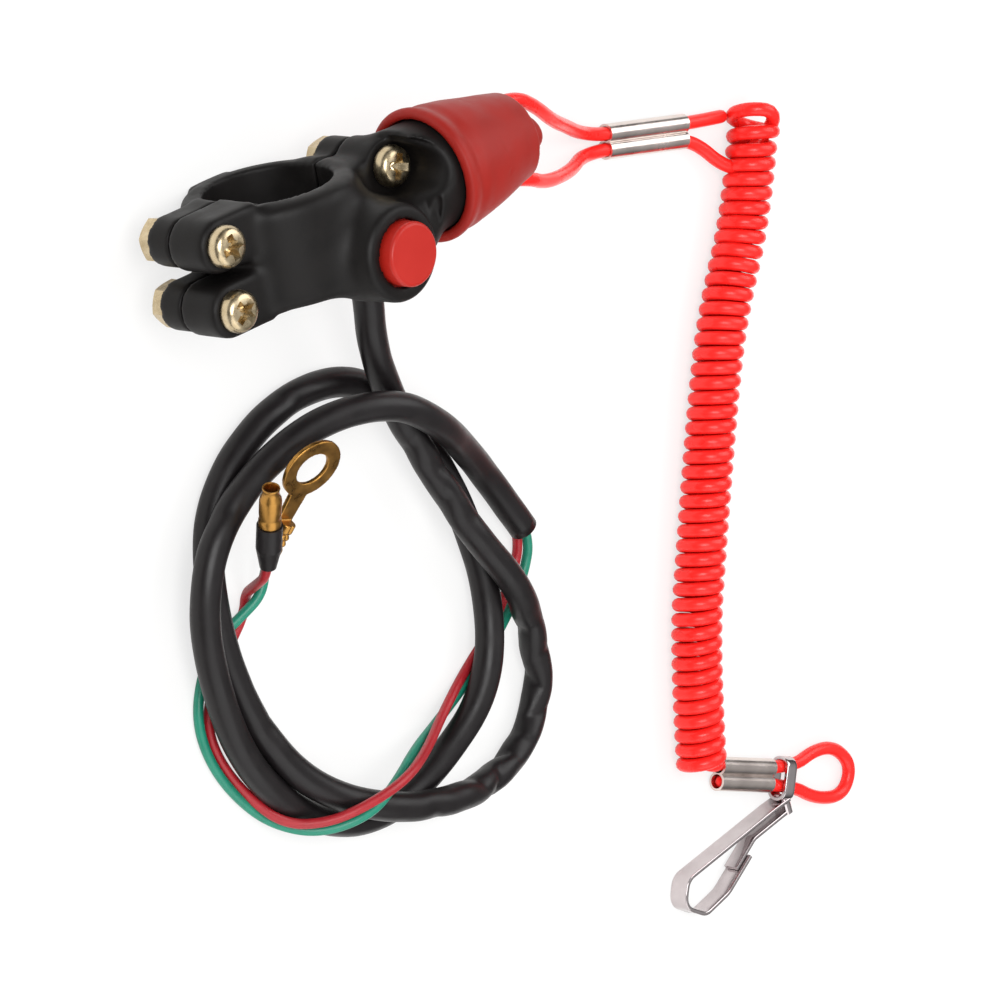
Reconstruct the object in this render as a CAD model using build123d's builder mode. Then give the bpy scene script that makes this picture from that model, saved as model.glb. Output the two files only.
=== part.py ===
from build123d import *
import os
from math import atan2, cos, degrees, hypot, pi, radians, sin, sqrt, tan

# Engine kill switch for a handlebar, with a pull-off tether cap on a coiled lanyard.
# X runs along the tether post, Y along the handlebar and Z out through the push button.
# The origin is the middle of the handlebar bore. Lengths are in millimetres.
# The switch lies on its flat back with its lead and its lanyard laid out on the same surface.

# Handlebar clamp
bar_dia = 22.2
clamp_wall = 4.0
clamp_length = 18.4
split_gap = 0.5
back_flat_depth = 0.7
bar_relief = 0.8
rim_fillet = 0.9

# Clamp lugs and their screws
lug_radius = 4.7
rear_lug_radius = 4.3
lug_edge = 0.8
block_setback = 2.0
left_lug_x = -20.0
left_screw_pitch = 11.2
post_lug_x = 20.0
post_screw_y = 6.4
front_lug_height = 8.4
rear_lug_height = 5.4
nut_pocket = 0.8
nut_gap = 0.1
screw_dia = 4.0
screw_clearance = 0.1
head_dia = 7.2
head_height = 2.7
head_rim = 0.9
recess_depth = 1.7
recess_width = 1.1
recess_length = 4.2
nut_flats = 7.0
nut_height = 3.0
thread_fit = 0.05
screw_end = 0.6

# Button boss and button
boss_x = 9.0
boss_y = -4.5
boss_radius = 8.4
boss_top = 20.2
boss_lip = 1.8
boss_fillet = 1.2
boss_foot = 4.0
boss_foot_clear = 3.0
edge_window = 0.1
button_radius = 5.5
button_gap = 0.3
button_rise = 2.4
button_travel = 1.8
button_edge = 0.7
flange_extra = 0.9
flange_height = 1.2
chamber_floor = 12.6
stem_radius = 1.3
contact_disc = 0.8
contact_stud = 0.7
bridge_thickness = 0.4
spring_wire = 0.4
button_spring_radius = 4.2
button_spring_turns = 3

# Tether post and cap
post_y = 2.5
post_z = 9.5
post_radius = 9.8
post_start = 21.0
post_end = 36.5
post_fillet = 1.0
cap_gap = 0.3
cap_over_post = 10.5
cap_beyond_post = 12.0
cap_rim_radius = 12.0
cap_neck_radius = 8.6
cap_rim_height = 2.2
cap_lip = 1.0
nose_length = 4.2
nose_half_width = 4.6
nose_half_depth = 6.6
eye_spacing = 12.6
cap_travel = 24.0
recess_round_screw = 5.0
eye_beyond_post = 6.9
loop_run_out = 8.0

# Tether switch inside the post
plunger_radius = 2.6
plunger_reach = 1.2
plunger_collar = 3.6
collar_length = 1.4
plunger_bore_gap = 0.08
post_bore_radius = 4.0
post_bore_depth = 10.3
post_face_wall = 1.6
plunger_travel = 2.4
plunger_spring_radius = 2.9
plunger_spring_turns = 3
contact_cup_length = 1.2

# Shoulder that joins boss, post and clamp
shoulder_left = 6.0
shoulder_right = 24.0
shoulder_top = 16.5
shoulder_low = -10.0
shoulder_high = 2.0
shoulder_fillet = 2.0
boss_foot_fillet = 1.6

# Lead
sleeve_dia = 5.5
channel_gap = 0.1
channel_x = 18.2
channel_length = 6.5
wire_dia = 1.8
wire_pitch = 2.1

# Terminals
boot_dia = 4.5
boot_tail_dia = 2.9
boot_length = 9.0
boot_shoulder = 4.2
bullet_dia = 3.9
bullet_shaft = 5.6
bullet_nose = 2.4
bullet_tip_dia = 3.1
bullet_bore_dia = 2.4
bullet_bore_depth = 2.2
bullet_neck_dia = 3.2
ring_outer_dia = 11.6
ring_hole_dia = 6.4
ring_thickness = 0.8
ring_neck_width = 4.4
ring_neck_length = 5.0
barrel_dia = 3.0
barrel_length = 7.0
wire_grip = 0.1
wire_in_barrel = 4.5
wire_in_boot = 4.0
boot_start = (-13.6, -54.6, -2.75)
boot_heading = (-0.100, 0.920, 0.379)
barrel_start = (-7.2, -55.6, -8.7)
barrel_heading = (0.280, 0.800, 0.5307)

# Lanyard
cord_dia = 2.5
coil_dia = 9.5
eye_gap = 0.1
ferrule_wall = 0.45
ferrule_pitch = 2.9
ferrule_upper_length = 21.0
ferrule_lower_length = 15.0

# Snap hook
strip_thickness = 0.8
strip_width = 4.0
gate_width = 3.2
eye_inner_width = 8.4
eye_inner_height = 3.2
eye_depth = 3.0
hook_eye_along = 19.0
hook_run_out = 6.0
hook_heading = (-0.992, -0.126)
lower_ferrule_heading = (0.915, -0.403)
lower_ferrule_start = (95.0, -139.0)
upper_ferrule_heading = (0.975, -0.221)
upper_ferrule_start = (94.2, -14.9)

# Levels of the cords that cross one another
cross_rise = 6.0
top_rise = 12.0

# Derived sizes
bar_radius = bar_dia / 2
clamp_radius = bar_radius + clamp_wall
half_length = clamp_length / 2
half_gap = split_gap / 2
floor_z = -(clamp_radius - back_flat_depth)
sleeve_radius = sleeve_dia / 2
cord_radius = cord_dia / 2
low = floor_z + sleeve_radius
over = low + cross_rise
top = low + top_rise
under = floor_z + wire_dia / 2
ferrule_radius = cord_radius + eye_gap + ferrule_wall
ferrule_z = floor_z + ferrule_radius
hook_cord_z = floor_z + strip_thickness + eye_inner_height / 2 - 0.1
coil_z = floor_z + coil_dia / 2
screw_hole = screw_dia / 2 + screw_clearance
cap_start = post_end - cap_over_post
cap_end = post_end + cap_beyond_post
eye_turn_x = post_end + eye_beyond_post
post_bore_start = post_end - post_bore_depth
post_axis = Plane(origin=(0, post_y, post_z), x_dir=(0, 1, 0), z_dir=(1, 0, 0))
screw_places = {
    "upper": (left_lug_x, left_screw_pitch / 2),
    "lower": (left_lug_x, -left_screw_pitch / 2),
    "post": (post_lug_x, post_screw_y),
}
os.makedirs("parts", exist_ok=True)


def save(builder, name):
    builder.part.label = name
    export_step(builder.part, "parts/" + name + ".step")


def bend_radii(points):
    spots = [Vector(*p) for p in points]
    runs = [b - a for a, b in zip(spots, spots[1:])]
    found = []
    for before, after in zip(runs, runs[1:]):
        half_turn = radians(before.get_angle(after)) / 2
        found.append(0.45 * min(before.length, after.length) / tan(half_turn))
    return found


def cord_tube(points, diameter, name):
    bends = bend_radii(points)
    start = Vector(*points[0])
    heading = Vector(*points[1]) - start
    with BuildPart() as tube:
        with BuildLine() as route:
            FilletPolyline(*points, radius=bends)
        with BuildSketch(Plane(origin=start, z_dir=heading)):
            Circle(diameter / 2)
        sweep(path=route.line)
    length = route.wires()[0].length
    share = tube.part.volume / (pi * diameter**2 / 4 * length)
    print(name, "length", round(length, 1), "volume share", round(share, 4))
    print(name, "bend radii", [round(r, 1) for r in bends])
    return tube


def left_lugs(radius, height):
    with BuildPart() as lugs:
        with BuildSketch(Plane.XY):
            with Locations(*[(left_lug_x, y) for y in (-left_screw_pitch / 2, left_screw_pitch / 2)]):
                Circle(radius)
                Rectangle(-left_lug_x - bar_radius, 2 * radius, align=(Align.MIN, Align.CENTER))
        extrude(amount=height)
        outer_face = lugs.faces().filter_by(Axis.Z).group_by(Axis.Z)[-1 if height > 0 else 0]
        fillet(outer_face.edges(), lug_edge)
    return lugs.part


def is_boss_foot(edge):
    spot = edge.center()
    seam = edge.geom_type == GeomType.LINE and abs(spot.X - boss_x - boss_radius) < edge_window
    return boss_foot + boss_foot_clear < spot.Z < boss_top - edge_window and not seam


# Front housing
button_bore = button_radius + button_gap
chamber_radius = button_radius + flange_extra + button_gap
with BuildPart() as front_housing:
    # Front half of the clamp ring
    with BuildSketch(Plane.XZ.offset(-half_length)):
        Circle(clamp_radius)
        Rectangle(3 * clamp_radius, clamp_radius, align=(Align.CENTER, Align.MAX), mode=Mode.SUBTRACT)
    extrude(amount=clamp_length)
    fillet(front_housing.edges().filter_by(GeomType.CIRCLE), rim_fillet)
    # Two lugs on the left
    add(left_lugs(lug_radius, front_lug_height))
    # Lug beside the post and the block that holds the lead
    with BuildSketch(Plane.XY):
        with Locations((post_lug_x, post_screw_y)):
            Circle(lug_radius)
        with Locations((bar_radius, -half_length)):
            Rectangle(shoulder_right - bar_radius, half_length + post_screw_y + lug_radius - block_setback,
                      align=(Align.MIN, Align.MIN))
    extrude(amount=front_lug_height)
    # Shoulder between the boss and the post
    with BuildSketch(Plane.XZ.offset(-shoulder_high)):
        with BuildLine():
            Polyline((shoulder_left, 0), (shoulder_left, shoulder_top), (shoulder_right, shoulder_top),
                     (shoulder_right, 0), close=True)
        make_face()
    extrude(amount=shoulder_high - shoulder_low)
    # Button boss
    with BuildSketch(Plane.XY.offset(boss_foot)):
        with Locations((boss_x, boss_y)):
            Circle(boss_radius)
    extrude(amount=boss_top - boss_foot)
    # Tether post
    with BuildSketch(post_axis.offset(post_start)):
        Circle(post_radius)
    extrude(amount=post_end - post_start)
    # Soft moulded edges on the shoulder and round the boss's foot
    shoulder_face = front_housing.faces().filter_by(Axis.Z).filter_by(
        lambda face: abs(face.center().Z - shoulder_top) < edge_window)[0]
    fillet(shoulder_face.edges().filter_by(GeomType.LINE).filter_by(
        lambda edge: abs(edge.center().X - post_start) > edge_window), shoulder_fillet)
    boss_side = [face for face in front_housing.faces().filter_by(GeomType.CYLINDER)
                 if abs(face.radius - boss_radius) < edge_window]
    boss_edges = ShapeList([edge for face in boss_side for edge in face.edges()])
    fillet(boss_edges.filter_by(is_boss_foot), boss_foot_fillet)
    # Everything below the split goes
    with BuildSketch(Plane.XY.offset(half_gap)):
        Rectangle(6 * clamp_radius, 4 * clamp_radius)
    extrude(amount=-clamp_radius, mode=Mode.SUBTRACT)
    # Handlebar bore
    with BuildSketch(Plane.XZ.offset(-2 * half_length)):
        Circle(bar_radius)
    extrude(amount=2 * clamp_length, mode=Mode.SUBTRACT)
    # Relief round the bar where the boss overhangs the clamp's end
    with BuildSketch(Plane.XZ.offset(half_length)):
        Circle(bar_radius + bar_relief)
    extrude(amount=clamp_length, mode=Mode.SUBTRACT)
    # Room for the head and driver at the post screw
    with BuildSketch(Plane.XY.offset(front_lug_height)):
        with Locations(screw_places["post"]):
            Circle(recess_round_screw)
    extrude(amount=clamp_radius, mode=Mode.SUBTRACT)
    # Screw holes
    with BuildSketch(Plane.XY):
        with Locations(*screw_places.values()):
            Circle(screw_hole)
    extrude(amount=front_lug_height, mode=Mode.SUBTRACT)
    # Upper half of the lead's channel
    with BuildSketch(Plane.XZ.offset(-shoulder_low)):
        with Locations((channel_x, 0)):
            Circle(sleeve_radius + channel_gap)
    extrude(amount=half_length + shoulder_low - channel_length, mode=Mode.SUBTRACT)
    # Button chamber, with a lip that keeps the button in
    with BuildSketch(Plane.XY.offset(boss_top)):
        with Locations((boss_x, boss_y)):
            Circle(button_bore)
    extrude(amount=-boss_lip, mode=Mode.SUBTRACT)
    with BuildSketch(Plane.XY.offset(boss_top - boss_lip)):
        with Locations((boss_x, boss_y)):
            Circle(chamber_radius)
    extrude(amount=chamber_floor - boss_top + boss_lip, mode=Mode.SUBTRACT)
    # Bore for the tether plunger
    with BuildSketch(post_axis.offset(post_end)):
        Circle(plunger_radius + plunger_bore_gap)
    extrude(amount=-post_face_wall, mode=Mode.SUBTRACT)
    with BuildSketch(post_axis.offset(post_end - post_face_wall)):
        Circle(post_bore_radius)
    extrude(amount=post_bore_start - post_end + post_face_wall, mode=Mode.SUBTRACT)
    # Rounded rims of boss and post
    boss_rim = front_housing.edges().filter_by(GeomType.CIRCLE).group_by(Axis.Z)[-1].sort_by(SortBy.RADIUS)[-1]
    fillet(boss_rim, boss_fillet)
    post_rim = front_housing.edges().filter_by(GeomType.CIRCLE).group_by(Axis.X)[-1].sort_by(SortBy.RADIUS)[-1]
    fillet(post_rim, post_fillet)
save(front_housing, "front_housing")

# Rear clamp
with BuildPart() as rear_clamp:
    with BuildSketch(Plane.XZ.offset(-half_length)):
        Circle(clamp_radius)
        Rectangle(3 * clamp_radius, clamp_radius, align=(Align.CENTER, Align.MIN), mode=Mode.SUBTRACT)
    extrude(amount=clamp_length)
    fillet(rear_clamp.edges().filter_by(GeomType.CIRCLE), rim_fillet)
    # Flat back
    with BuildSketch(Plane.XY.offset(floor_z)):
        Rectangle(3 * clamp_radius, 2 * clamp_length)
    extrude(amount=-clamp_wall, mode=Mode.SUBTRACT)
    # Round lugs, each with a web back to the ring
    add(left_lugs(rear_lug_radius, -rear_lug_height))
    with BuildSketch(Plane.XY):
        with Locations((post_lug_x, post_screw_y)):
            Circle(rear_lug_radius)
        with Locations((bar_radius, -half_length)):
            Rectangle(shoulder_right - bar_radius, half_length + post_screw_y + lug_radius - block_setback,
                      align=(Align.MIN, Align.MIN))
    extrude(amount=-rear_lug_height)
    with BuildSketch(Plane.XY.offset(-half_gap)):
        Rectangle(6 * clamp_radius, 4 * clamp_radius)
    extrude(amount=clamp_radius, mode=Mode.SUBTRACT)
    with BuildSketch(Plane.XZ.offset(-2 * half_length)):
        Circle(bar_radius)
    extrude(amount=2 * clamp_length, mode=Mode.SUBTRACT)
    # Screw holes and pockets that hold the nuts
    with BuildSketch(Plane.XY):
        with Locations(*screw_places.values()):
            Circle(screw_hole)
    extrude(amount=-rear_lug_height, mode=Mode.SUBTRACT)
    with BuildSketch(Plane.XY.offset(-rear_lug_height)):
        with Locations(*screw_places.values()):
            RegularPolygon(nut_flats / 2 + nut_gap, 6, major_radius=False)
    extrude(amount=nut_pocket, mode=Mode.SUBTRACT)
    # Lower half of the lead's channel
    with BuildSketch(Plane.XZ.offset(half_length)):
        with Locations((channel_x, 0)):
            Circle(sleeve_radius + channel_gap)
    extrude(amount=-channel_length, mode=Mode.SUBTRACT)
save(rear_clamp, "rear_clamp")

# Clamp screws and nuts
nut_seat = nut_pocket - rear_lug_height
for place, (x, y) in screw_places.items():
    with BuildPart() as clamp_screw:
        with BuildSketch(Plane.XY.offset(front_lug_height)):
            with Locations((x, y)):
                Circle(head_dia / 2)
        extrude(amount=head_height)
        fillet(clamp_screw.faces().sort_by(Axis.Z)[-1].edges(), head_rim)
        with BuildSketch(Plane.XY.offset(front_lug_height)):
            with Locations((x, y)):
                Circle(screw_dia / 2)
        extrude(amount=-(front_lug_height - nut_seat + nut_height + screw_end))
        with BuildSketch(Plane.XY.offset(front_lug_height + head_height)):
            with Locations((x, y)):
                Rectangle(recess_length, recess_width)
                Rectangle(recess_width, recess_length)
        extrude(amount=-recess_depth, mode=Mode.SUBTRACT)
    save(clamp_screw, "clamp_screw_" + place)
    with BuildPart() as clamp_nut:
        with BuildSketch(Plane.XY.offset(nut_seat)):
            with Locations((x, y)):
                RegularPolygon(nut_flats / 2, 6, major_radius=False)
                Circle(screw_dia / 2 + thread_fit, mode=Mode.SUBTRACT)
        extrude(amount=-nut_height)
    save(clamp_nut, "clamp_nut_" + place)

# Push button, its spring and contacts
flange_top = boss_top - boss_lip
with BuildPart() as push_button:
    with BuildSketch(Plane.XY.offset(flange_top - flange_height)):
        with Locations((boss_x, boss_y)):
            Circle(button_radius + flange_extra)
    extrude(amount=flange_height)
    with BuildSketch(Plane.XY.offset(flange_top)):
        with Locations((boss_x, boss_y)):
            Circle(button_radius)
    extrude(amount=boss_lip + button_rise)
    fillet(push_button.faces().sort_by(Axis.Z)[-1].edges(), button_edge)
    with BuildSketch(Plane.XY.offset(flange_top - flange_height)):
        with Locations((boss_x, boss_y)):
            Circle(stem_radius)
    extrude(amount=-contact_disc)
save(push_button, "push_button")

bridge_top = flange_top - flange_height - contact_disc
with BuildPart() as button_contact:
    with BuildSketch(Plane.XY.offset(bridge_top)):
        with Locations((boss_x, boss_y)):
            Circle(button_spring_radius - 2 * spring_wire)
    extrude(amount=-bridge_thickness)
save(button_contact, "button_contact")

with BuildPart() as contact_base:
    with BuildSketch(Plane.XY.offset(chamber_floor)):
        with Locations((boss_x, boss_y)):
            Circle(chamber_radius - button_gap)
    extrude(amount=contact_disc)
    with BuildSketch(Plane.XY.offset(chamber_floor + contact_disc)):
        with Locations((boss_x, boss_y)):
            with GridLocations(2 * stem_radius, 0, 2, 1):
                Circle(contact_disc / 2)
    extrude(amount=contact_stud)
save(contact_base, "contact_base")

spring_foot = chamber_floor + contact_disc + spring_wire / 2
spring_rise = flange_top - flange_height - spring_wire / 2 - spring_foot
with BuildPart() as button_spring:
    with BuildLine() as coil_line:
        Helix(spring_rise / button_spring_turns, spring_rise, button_spring_radius,
              center=(boss_x, boss_y, spring_foot))
    with BuildSketch(Plane(origin=coil_line.line @ 0, z_dir=coil_line.line % 0)):
        Circle(spring_wire / 2)
    sweep(path=coil_line.line, is_frenet=True)
save(button_spring, "button_spring")

# Tether plunger, its spring and its contact cup
collar_end = post_end - post_face_wall
collar_start = collar_end - plunger_travel - collar_length
with BuildPart() as tether_plunger:
    with BuildSketch(post_axis.offset(collar_start)):
        Circle(plunger_collar)
    extrude(amount=collar_length)
    with BuildSketch(post_axis.offset(collar_start + collar_length)):
        Circle(plunger_radius)
    extrude(amount=plunger_travel + post_face_wall + plunger_reach)
save(tether_plunger, "tether_plunger")

with BuildPart() as plunger_contact:
    with BuildSketch(post_axis.offset(post_bore_start)):
        Circle(plunger_collar)
    extrude(amount=contact_cup_length)
save(plunger_contact, "plunger_contact")

cup_top = post_bore_start + contact_cup_length
plunger_spring_rise = collar_start - cup_top - spring_wire
with BuildPart() as plunger_spring:
    with BuildLine() as coil_line:
        Helix(plunger_spring_rise / plunger_spring_turns, plunger_spring_rise, plunger_spring_radius,
              center=(cup_top + spring_wire / 2, post_y, post_z), direction=(1, 0, 0))
    with BuildSketch(Plane(origin=coil_line.line @ 0, z_dir=coil_line.line % 0)):
        Circle(spring_wire / 2)
    sweep(path=coil_line.line, is_frenet=True)
save(plunger_spring, "plunger_spring")

# The lead's sleeve: down from the clamp, twice round in a loose coil, over itself at each crossing
sleeve_points = [
    (channel_x, -half_length + channel_length, 0),
    (channel_x, -16.0, 0),
    (19.6, -25.0, -3.2),
    (24.6, -37.0, over),
    (33.0, -52.0, over + 0.6),
    (42.0, -67.0, over + 0.8),
    (51.5, -79.5, over + 0.4),
    (57.2, -90.5, low + 3.4),
    (56.6, -103.0, low + 1),
    (48.5, -113.0, low + 0.6),
    (35.5, -117.0, low + 2.4),
    (21.0, -113.8, over + 1),
    (6.0, -106.5, over + 1),
    (-7.0, -94.5, low + 3.6),
    (-14.6, -79.0, low + 2.7),
    (-18.3, -62.0, low + 2.4),
    (-17.5, -46.0, low),
    (-8.5, -34.5, low),
    (7.0, -29.5, low),
    (23.5, -34.5, low),
    (36.5, -48.5, low),
    (44.0, -66.0, low),
    (45.8, -83.5, low + 2.0),
    (40.0, -99.0, low + 2.6),
    (26.0, -109.3, low + 1),
    (8.0, -111.5, low),
    (-9.0, -104.2, low + 0.6),
    (-21.2, -89.5, low + 2.4),
    (-26.8, -73.0, low + 2.8),
    (-24.5, -59.5, over),
    (-17.8, -50.2, over + 0.9),
    (-8.5, -43.8, low + 3.4),
    (6.5, -38.6, over + 4.0),
    (19.5, -36.8, top + 0.6),
    (33.0, -40.0, top),
    (45.0, -50.5, over),
    (53.0, -63.0, low + 1),
    (57.0, -75.0, low),
]
lead_sleeve = cord_tube(sleeve_points, sleeve_dia, "lead_sleeve")
save(lead_sleeve, "lead_sleeve")

# The two wires, from the sleeve's open end round under and over its turns to the terminals
green_points = [
    (57.3, -73.0, low),
    (58.8, -78.5, low - 0.6),
    (57.2, -84.5, under + 0.2),
    (52.0, -89.4, under),
    (45.0, -92.8, under),
    (36.5, -96.6, under),
    (27.0, -100.8, under + 0.2),
    (17.5, -103.6, over),
    (8.0, -105.6, over + 5.6),
    (-0.5, -107.6, over + 4.4),
    (-9.0, -108.6, low + 2.6),
    (-17.0, -104.2, under),
    (-23.8, -96.5, under),
    (-28.6, -87.5, under),
    (-27.8, -79.3, under),
    (-22.6, -73.0, under),
    (-17.6, -68.0, under),
    (-13.8, -64.4, under + 1.4),
    (-10.2, -61.2, under + 3.6),
    (barrel_start[0] - 2.2 * barrel_heading[0], barrel_start[1] - 2.2 * barrel_heading[1],
     barrel_start[2] - 2.2 * barrel_heading[2]),
    (barrel_start[0] + wire_in_barrel * barrel_heading[0], barrel_start[1] + wire_in_barrel * barrel_heading[1],
     barrel_start[2] + wire_in_barrel * barrel_heading[2]),
]
red_points = [
    (55.4, -73.0, low),
    (56.6, -78.5, low - 0.8),
    (54.6, -83.2, under + 0.2),
    (50.4, -87.0, under),
    (44.0, -90.4, under),
    (35.5, -94.4, under),
    (26.3, -98.4, under + 0.2),
    (17.0, -101.2, over),
    (7.5, -103.2, over + 5.6),
    (-1.0, -105.2, over + 4.4),
    (-8.5, -106.2, low + 5.0),
    (-15.6, -103.2, low + 1.0),
    (-22.0, -95.2, under),
    (-26.2, -87.2, under),
    (-25.6, -80.6, under),
    (-20.8, -74.4, under),
    (-14.4, -69.8, under),
    (-10.8, -65.2, under),
    (-10.9, -61.2, under),
    (-12.4, -58.2, under + 4.4),
    (boot_start[0] - 1.8 * boot_heading[0], boot_start[1] - 1.8 * boot_heading[1],
     boot_start[2] - 1.8 * boot_heading[2]),
    (boot_start[0] + wire_in_boot * boot_heading[0], boot_start[1] + wire_in_boot * boot_heading[1],
     boot_start[2] + wire_in_boot * boot_heading[2]),
]
wire_green = cord_tube(green_points, wire_dia, "wire_green")
save(wire_green, "wire_green")
wire_red = cord_tube(red_points, wire_dia, "wire_red")
save(wire_red, "wire_red")

# Ring terminal: a flat ring and a crimped barrel round the green wire
wire_hole = wire_dia / 2 + wire_grip
ring_axis = Plane(origin=barrel_start, x_dir=(-barrel_heading[1], barrel_heading[0], 0), z_dir=barrel_heading)
ring_face = Plane(origin=barrel_start, x_dir=barrel_heading, z_dir=ring_axis.y_dir)
ring_spot = barrel_length + ring_neck_length + ring_outer_dia / 2
with BuildPart() as ring_terminal:
    with BuildSketch(ring_face.offset(-barrel_dia / 2)):
        with Locations((ring_spot, 0)):
            Circle(ring_outer_dia / 2)
        with BuildLine():
            Polyline((wire_in_barrel, -barrel_dia / 2), (ring_spot, -ring_neck_width / 2),
                     (ring_spot, ring_neck_width / 2), (wire_in_barrel, barrel_dia / 2), close=True)
        make_face()
        with Locations((ring_spot, 0)):
            Circle(ring_hole_dia / 2, mode=Mode.SUBTRACT)
    extrude(amount=ring_thickness)
    with BuildSketch(ring_axis):
        Circle(barrel_dia / 2)
    extrude(amount=barrel_length)
    with BuildSketch(ring_axis):
        Circle(wire_hole)
    extrude(amount=wire_in_barrel + wire_grip, mode=Mode.SUBTRACT)
save(ring_terminal, "ring_terminal")

# Bullet terminal in its boot, at the end of the red wire
boot_axis = Plane(origin=boot_start, x_dir=(boot_heading[1], -boot_heading[0], 0), z_dir=boot_heading)
neck_length = boot_length - wire_in_boot - 2 * wire_grip
with BuildPart() as bullet_boot:
    with BuildSketch(boot_axis):
        Circle(boot_tail_dia / 2)
    with BuildSketch(boot_axis.offset(boot_shoulder)):
        Circle(boot_dia / 2)
    loft()
    with BuildSketch(boot_axis.offset(boot_shoulder)):
        Circle(boot_dia / 2)
    extrude(amount=boot_length - boot_shoulder)
    with BuildSketch(boot_axis):
        Circle(wire_hole)
    extrude(amount=wire_in_boot + wire_grip, mode=Mode.SUBTRACT)
    with BuildSketch(boot_axis.offset(boot_length)):
        Circle(bullet_neck_dia / 2 + thread_fit)
    extrude(amount=-neck_length, mode=Mode.SUBTRACT)
save(bullet_boot, "bullet_boot")
nose_plane = boot_axis.offset(boot_length + bullet_shaft)
tip_plane = nose_plane.offset(bullet_nose)
with BuildPart() as bullet_terminal:
    with BuildSketch(boot_axis.offset(boot_length)):
        Circle(bullet_dia / 2)
    extrude(amount=bullet_shaft)
    with BuildSketch(boot_axis.offset(boot_length)):
        Circle(bullet_neck_dia / 2)
    extrude(amount=thread_fit - neck_length)
    with BuildSketch(nose_plane):
        Circle(bullet_dia / 2)
    with BuildSketch(tip_plane):
        Circle(bullet_tip_dia / 2)
    loft()
    with BuildSketch(tip_plane):
        Circle(bullet_bore_dia / 2)
    extrude(amount=-bullet_bore_depth, mode=Mode.SUBTRACT)
save(bullet_terminal, "bullet_terminal")

# Upper ferrule and the lanyard's loop through the cap


def ferrule_frame(start, heading, height):
    return Plane(origin=(start[0], start[1], height), x_dir=(-heading[1], heading[0], 0),
                 z_dir=(heading[0], heading[1], 0))


def ferrule_spot(start, heading, height, along, side):
    half = ferrule_pitch / 2 * side
    return (start[0] + along * heading[0] - half * heading[1], start[1] + along * heading[1] + half * heading[0],
            height)


def ferrule(start, heading, height, length):
    with BuildPart() as sleeve:
        with BuildSketch(ferrule_frame(start, heading, height)):
            with GridLocations(ferrule_pitch, 0, 2, 1):
                Circle(ferrule_radius)
                Circle(cord_radius + eye_gap, mode=Mode.SUBTRACT)
        extrude(amount=length)
    return sleeve


def at_upper(along, side):
    return ferrule_spot(upper_ferrule_start, upper_ferrule_heading, ferrule_z, along, side)


def at_lower(along, side):
    return ferrule_spot(lower_ferrule_start, lower_ferrule_heading, hook_cord_z, along, side)


eye_half = eye_spacing / 2
eye_corner = eye_half * tan(radians(22.5))
eye_deep = eye_turn_x - (eye_half - eye_corner)
loop_points = [
    (127.2, -20.4, ferrule_z - 0.3),
    at_upper(ferrule_upper_length + 3.0, 1),
    at_upper(-loop_run_out, 1),
    (75.5, -6.6, -4.8),
    (65.0, 1.4, 3.6),
    (56.5, 6.8, post_z - 1.4),
    (eye_turn_x, post_y + eye_half, post_z),
    (eye_deep, post_y + eye_corner, post_z),
    (eye_deep, post_y - eye_corner, post_z),
    (eye_turn_x, post_y - eye_half, post_z),
    (56.5, -5.8, post_z - 1.4),
    (66.0, -10.6, 3.0),
    (76.0, -13.8, -4.2),
    at_upper(-loop_run_out, -1),
    at_upper(ferrule_upper_length + 4.0, -1),
    (123.0, -27.0, ferrule_z + 0.6),
    (126.8, -31.4, ferrule_z + 2.0),
]
lanyard_loop = cord_tube(loop_points, cord_dia, "lanyard_loop")
save(lanyard_loop, "lanyard_loop")
save(ferrule(upper_ferrule_start, upper_ferrule_heading, ferrule_z, ferrule_upper_length), "ferrule_upper")

# The coiled part of the lanyard, as its outer shape
coil_points = [
    (133.6, -24.0, coil_z),
    (127.8, -38.0, coil_z),
    (115.0, -55.0, coil_z),
    (107.5, -72.5, coil_z),
    (100.0, -93.0, coil_z),
    (93.0, -112.5, coil_z),
    (89.0, -134.5, coil_z),
]
lanyard_coil = cord_tube(coil_points, coil_dia, "lanyard_coil")
save(lanyard_coil, "lanyard_coil")

# The end loop that carries the hook
end_loop_points = [
    (89.2, -130.0, hook_cord_z + 0.8),
    at_lower(-3.0, 1),
    at_lower(ferrule_lower_length + hook_run_out, 1),
    (121.5, -147.4, hook_cord_z),
    (128.5, -148.4, hook_cord_z - 0.4),
    (132.5, -152.6, hook_cord_z - 0.6),
    (129.5, -157.2, hook_cord_z - 0.6),
    (123.0, -157.4, hook_cord_z - 0.4),
    at_lower(ferrule_lower_length + hook_run_out, -1),
    at_lower(-2.0, -1),
]
lanyard_end_loop = cord_tube(end_loop_points, cord_dia, "lanyard_end_loop")
save(lanyard_end_loop, "lanyard_end_loop")
save(ferrule(lower_ferrule_start, lower_ferrule_heading, hook_cord_z, ferrule_lower_length), "ferrule_lower")

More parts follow.
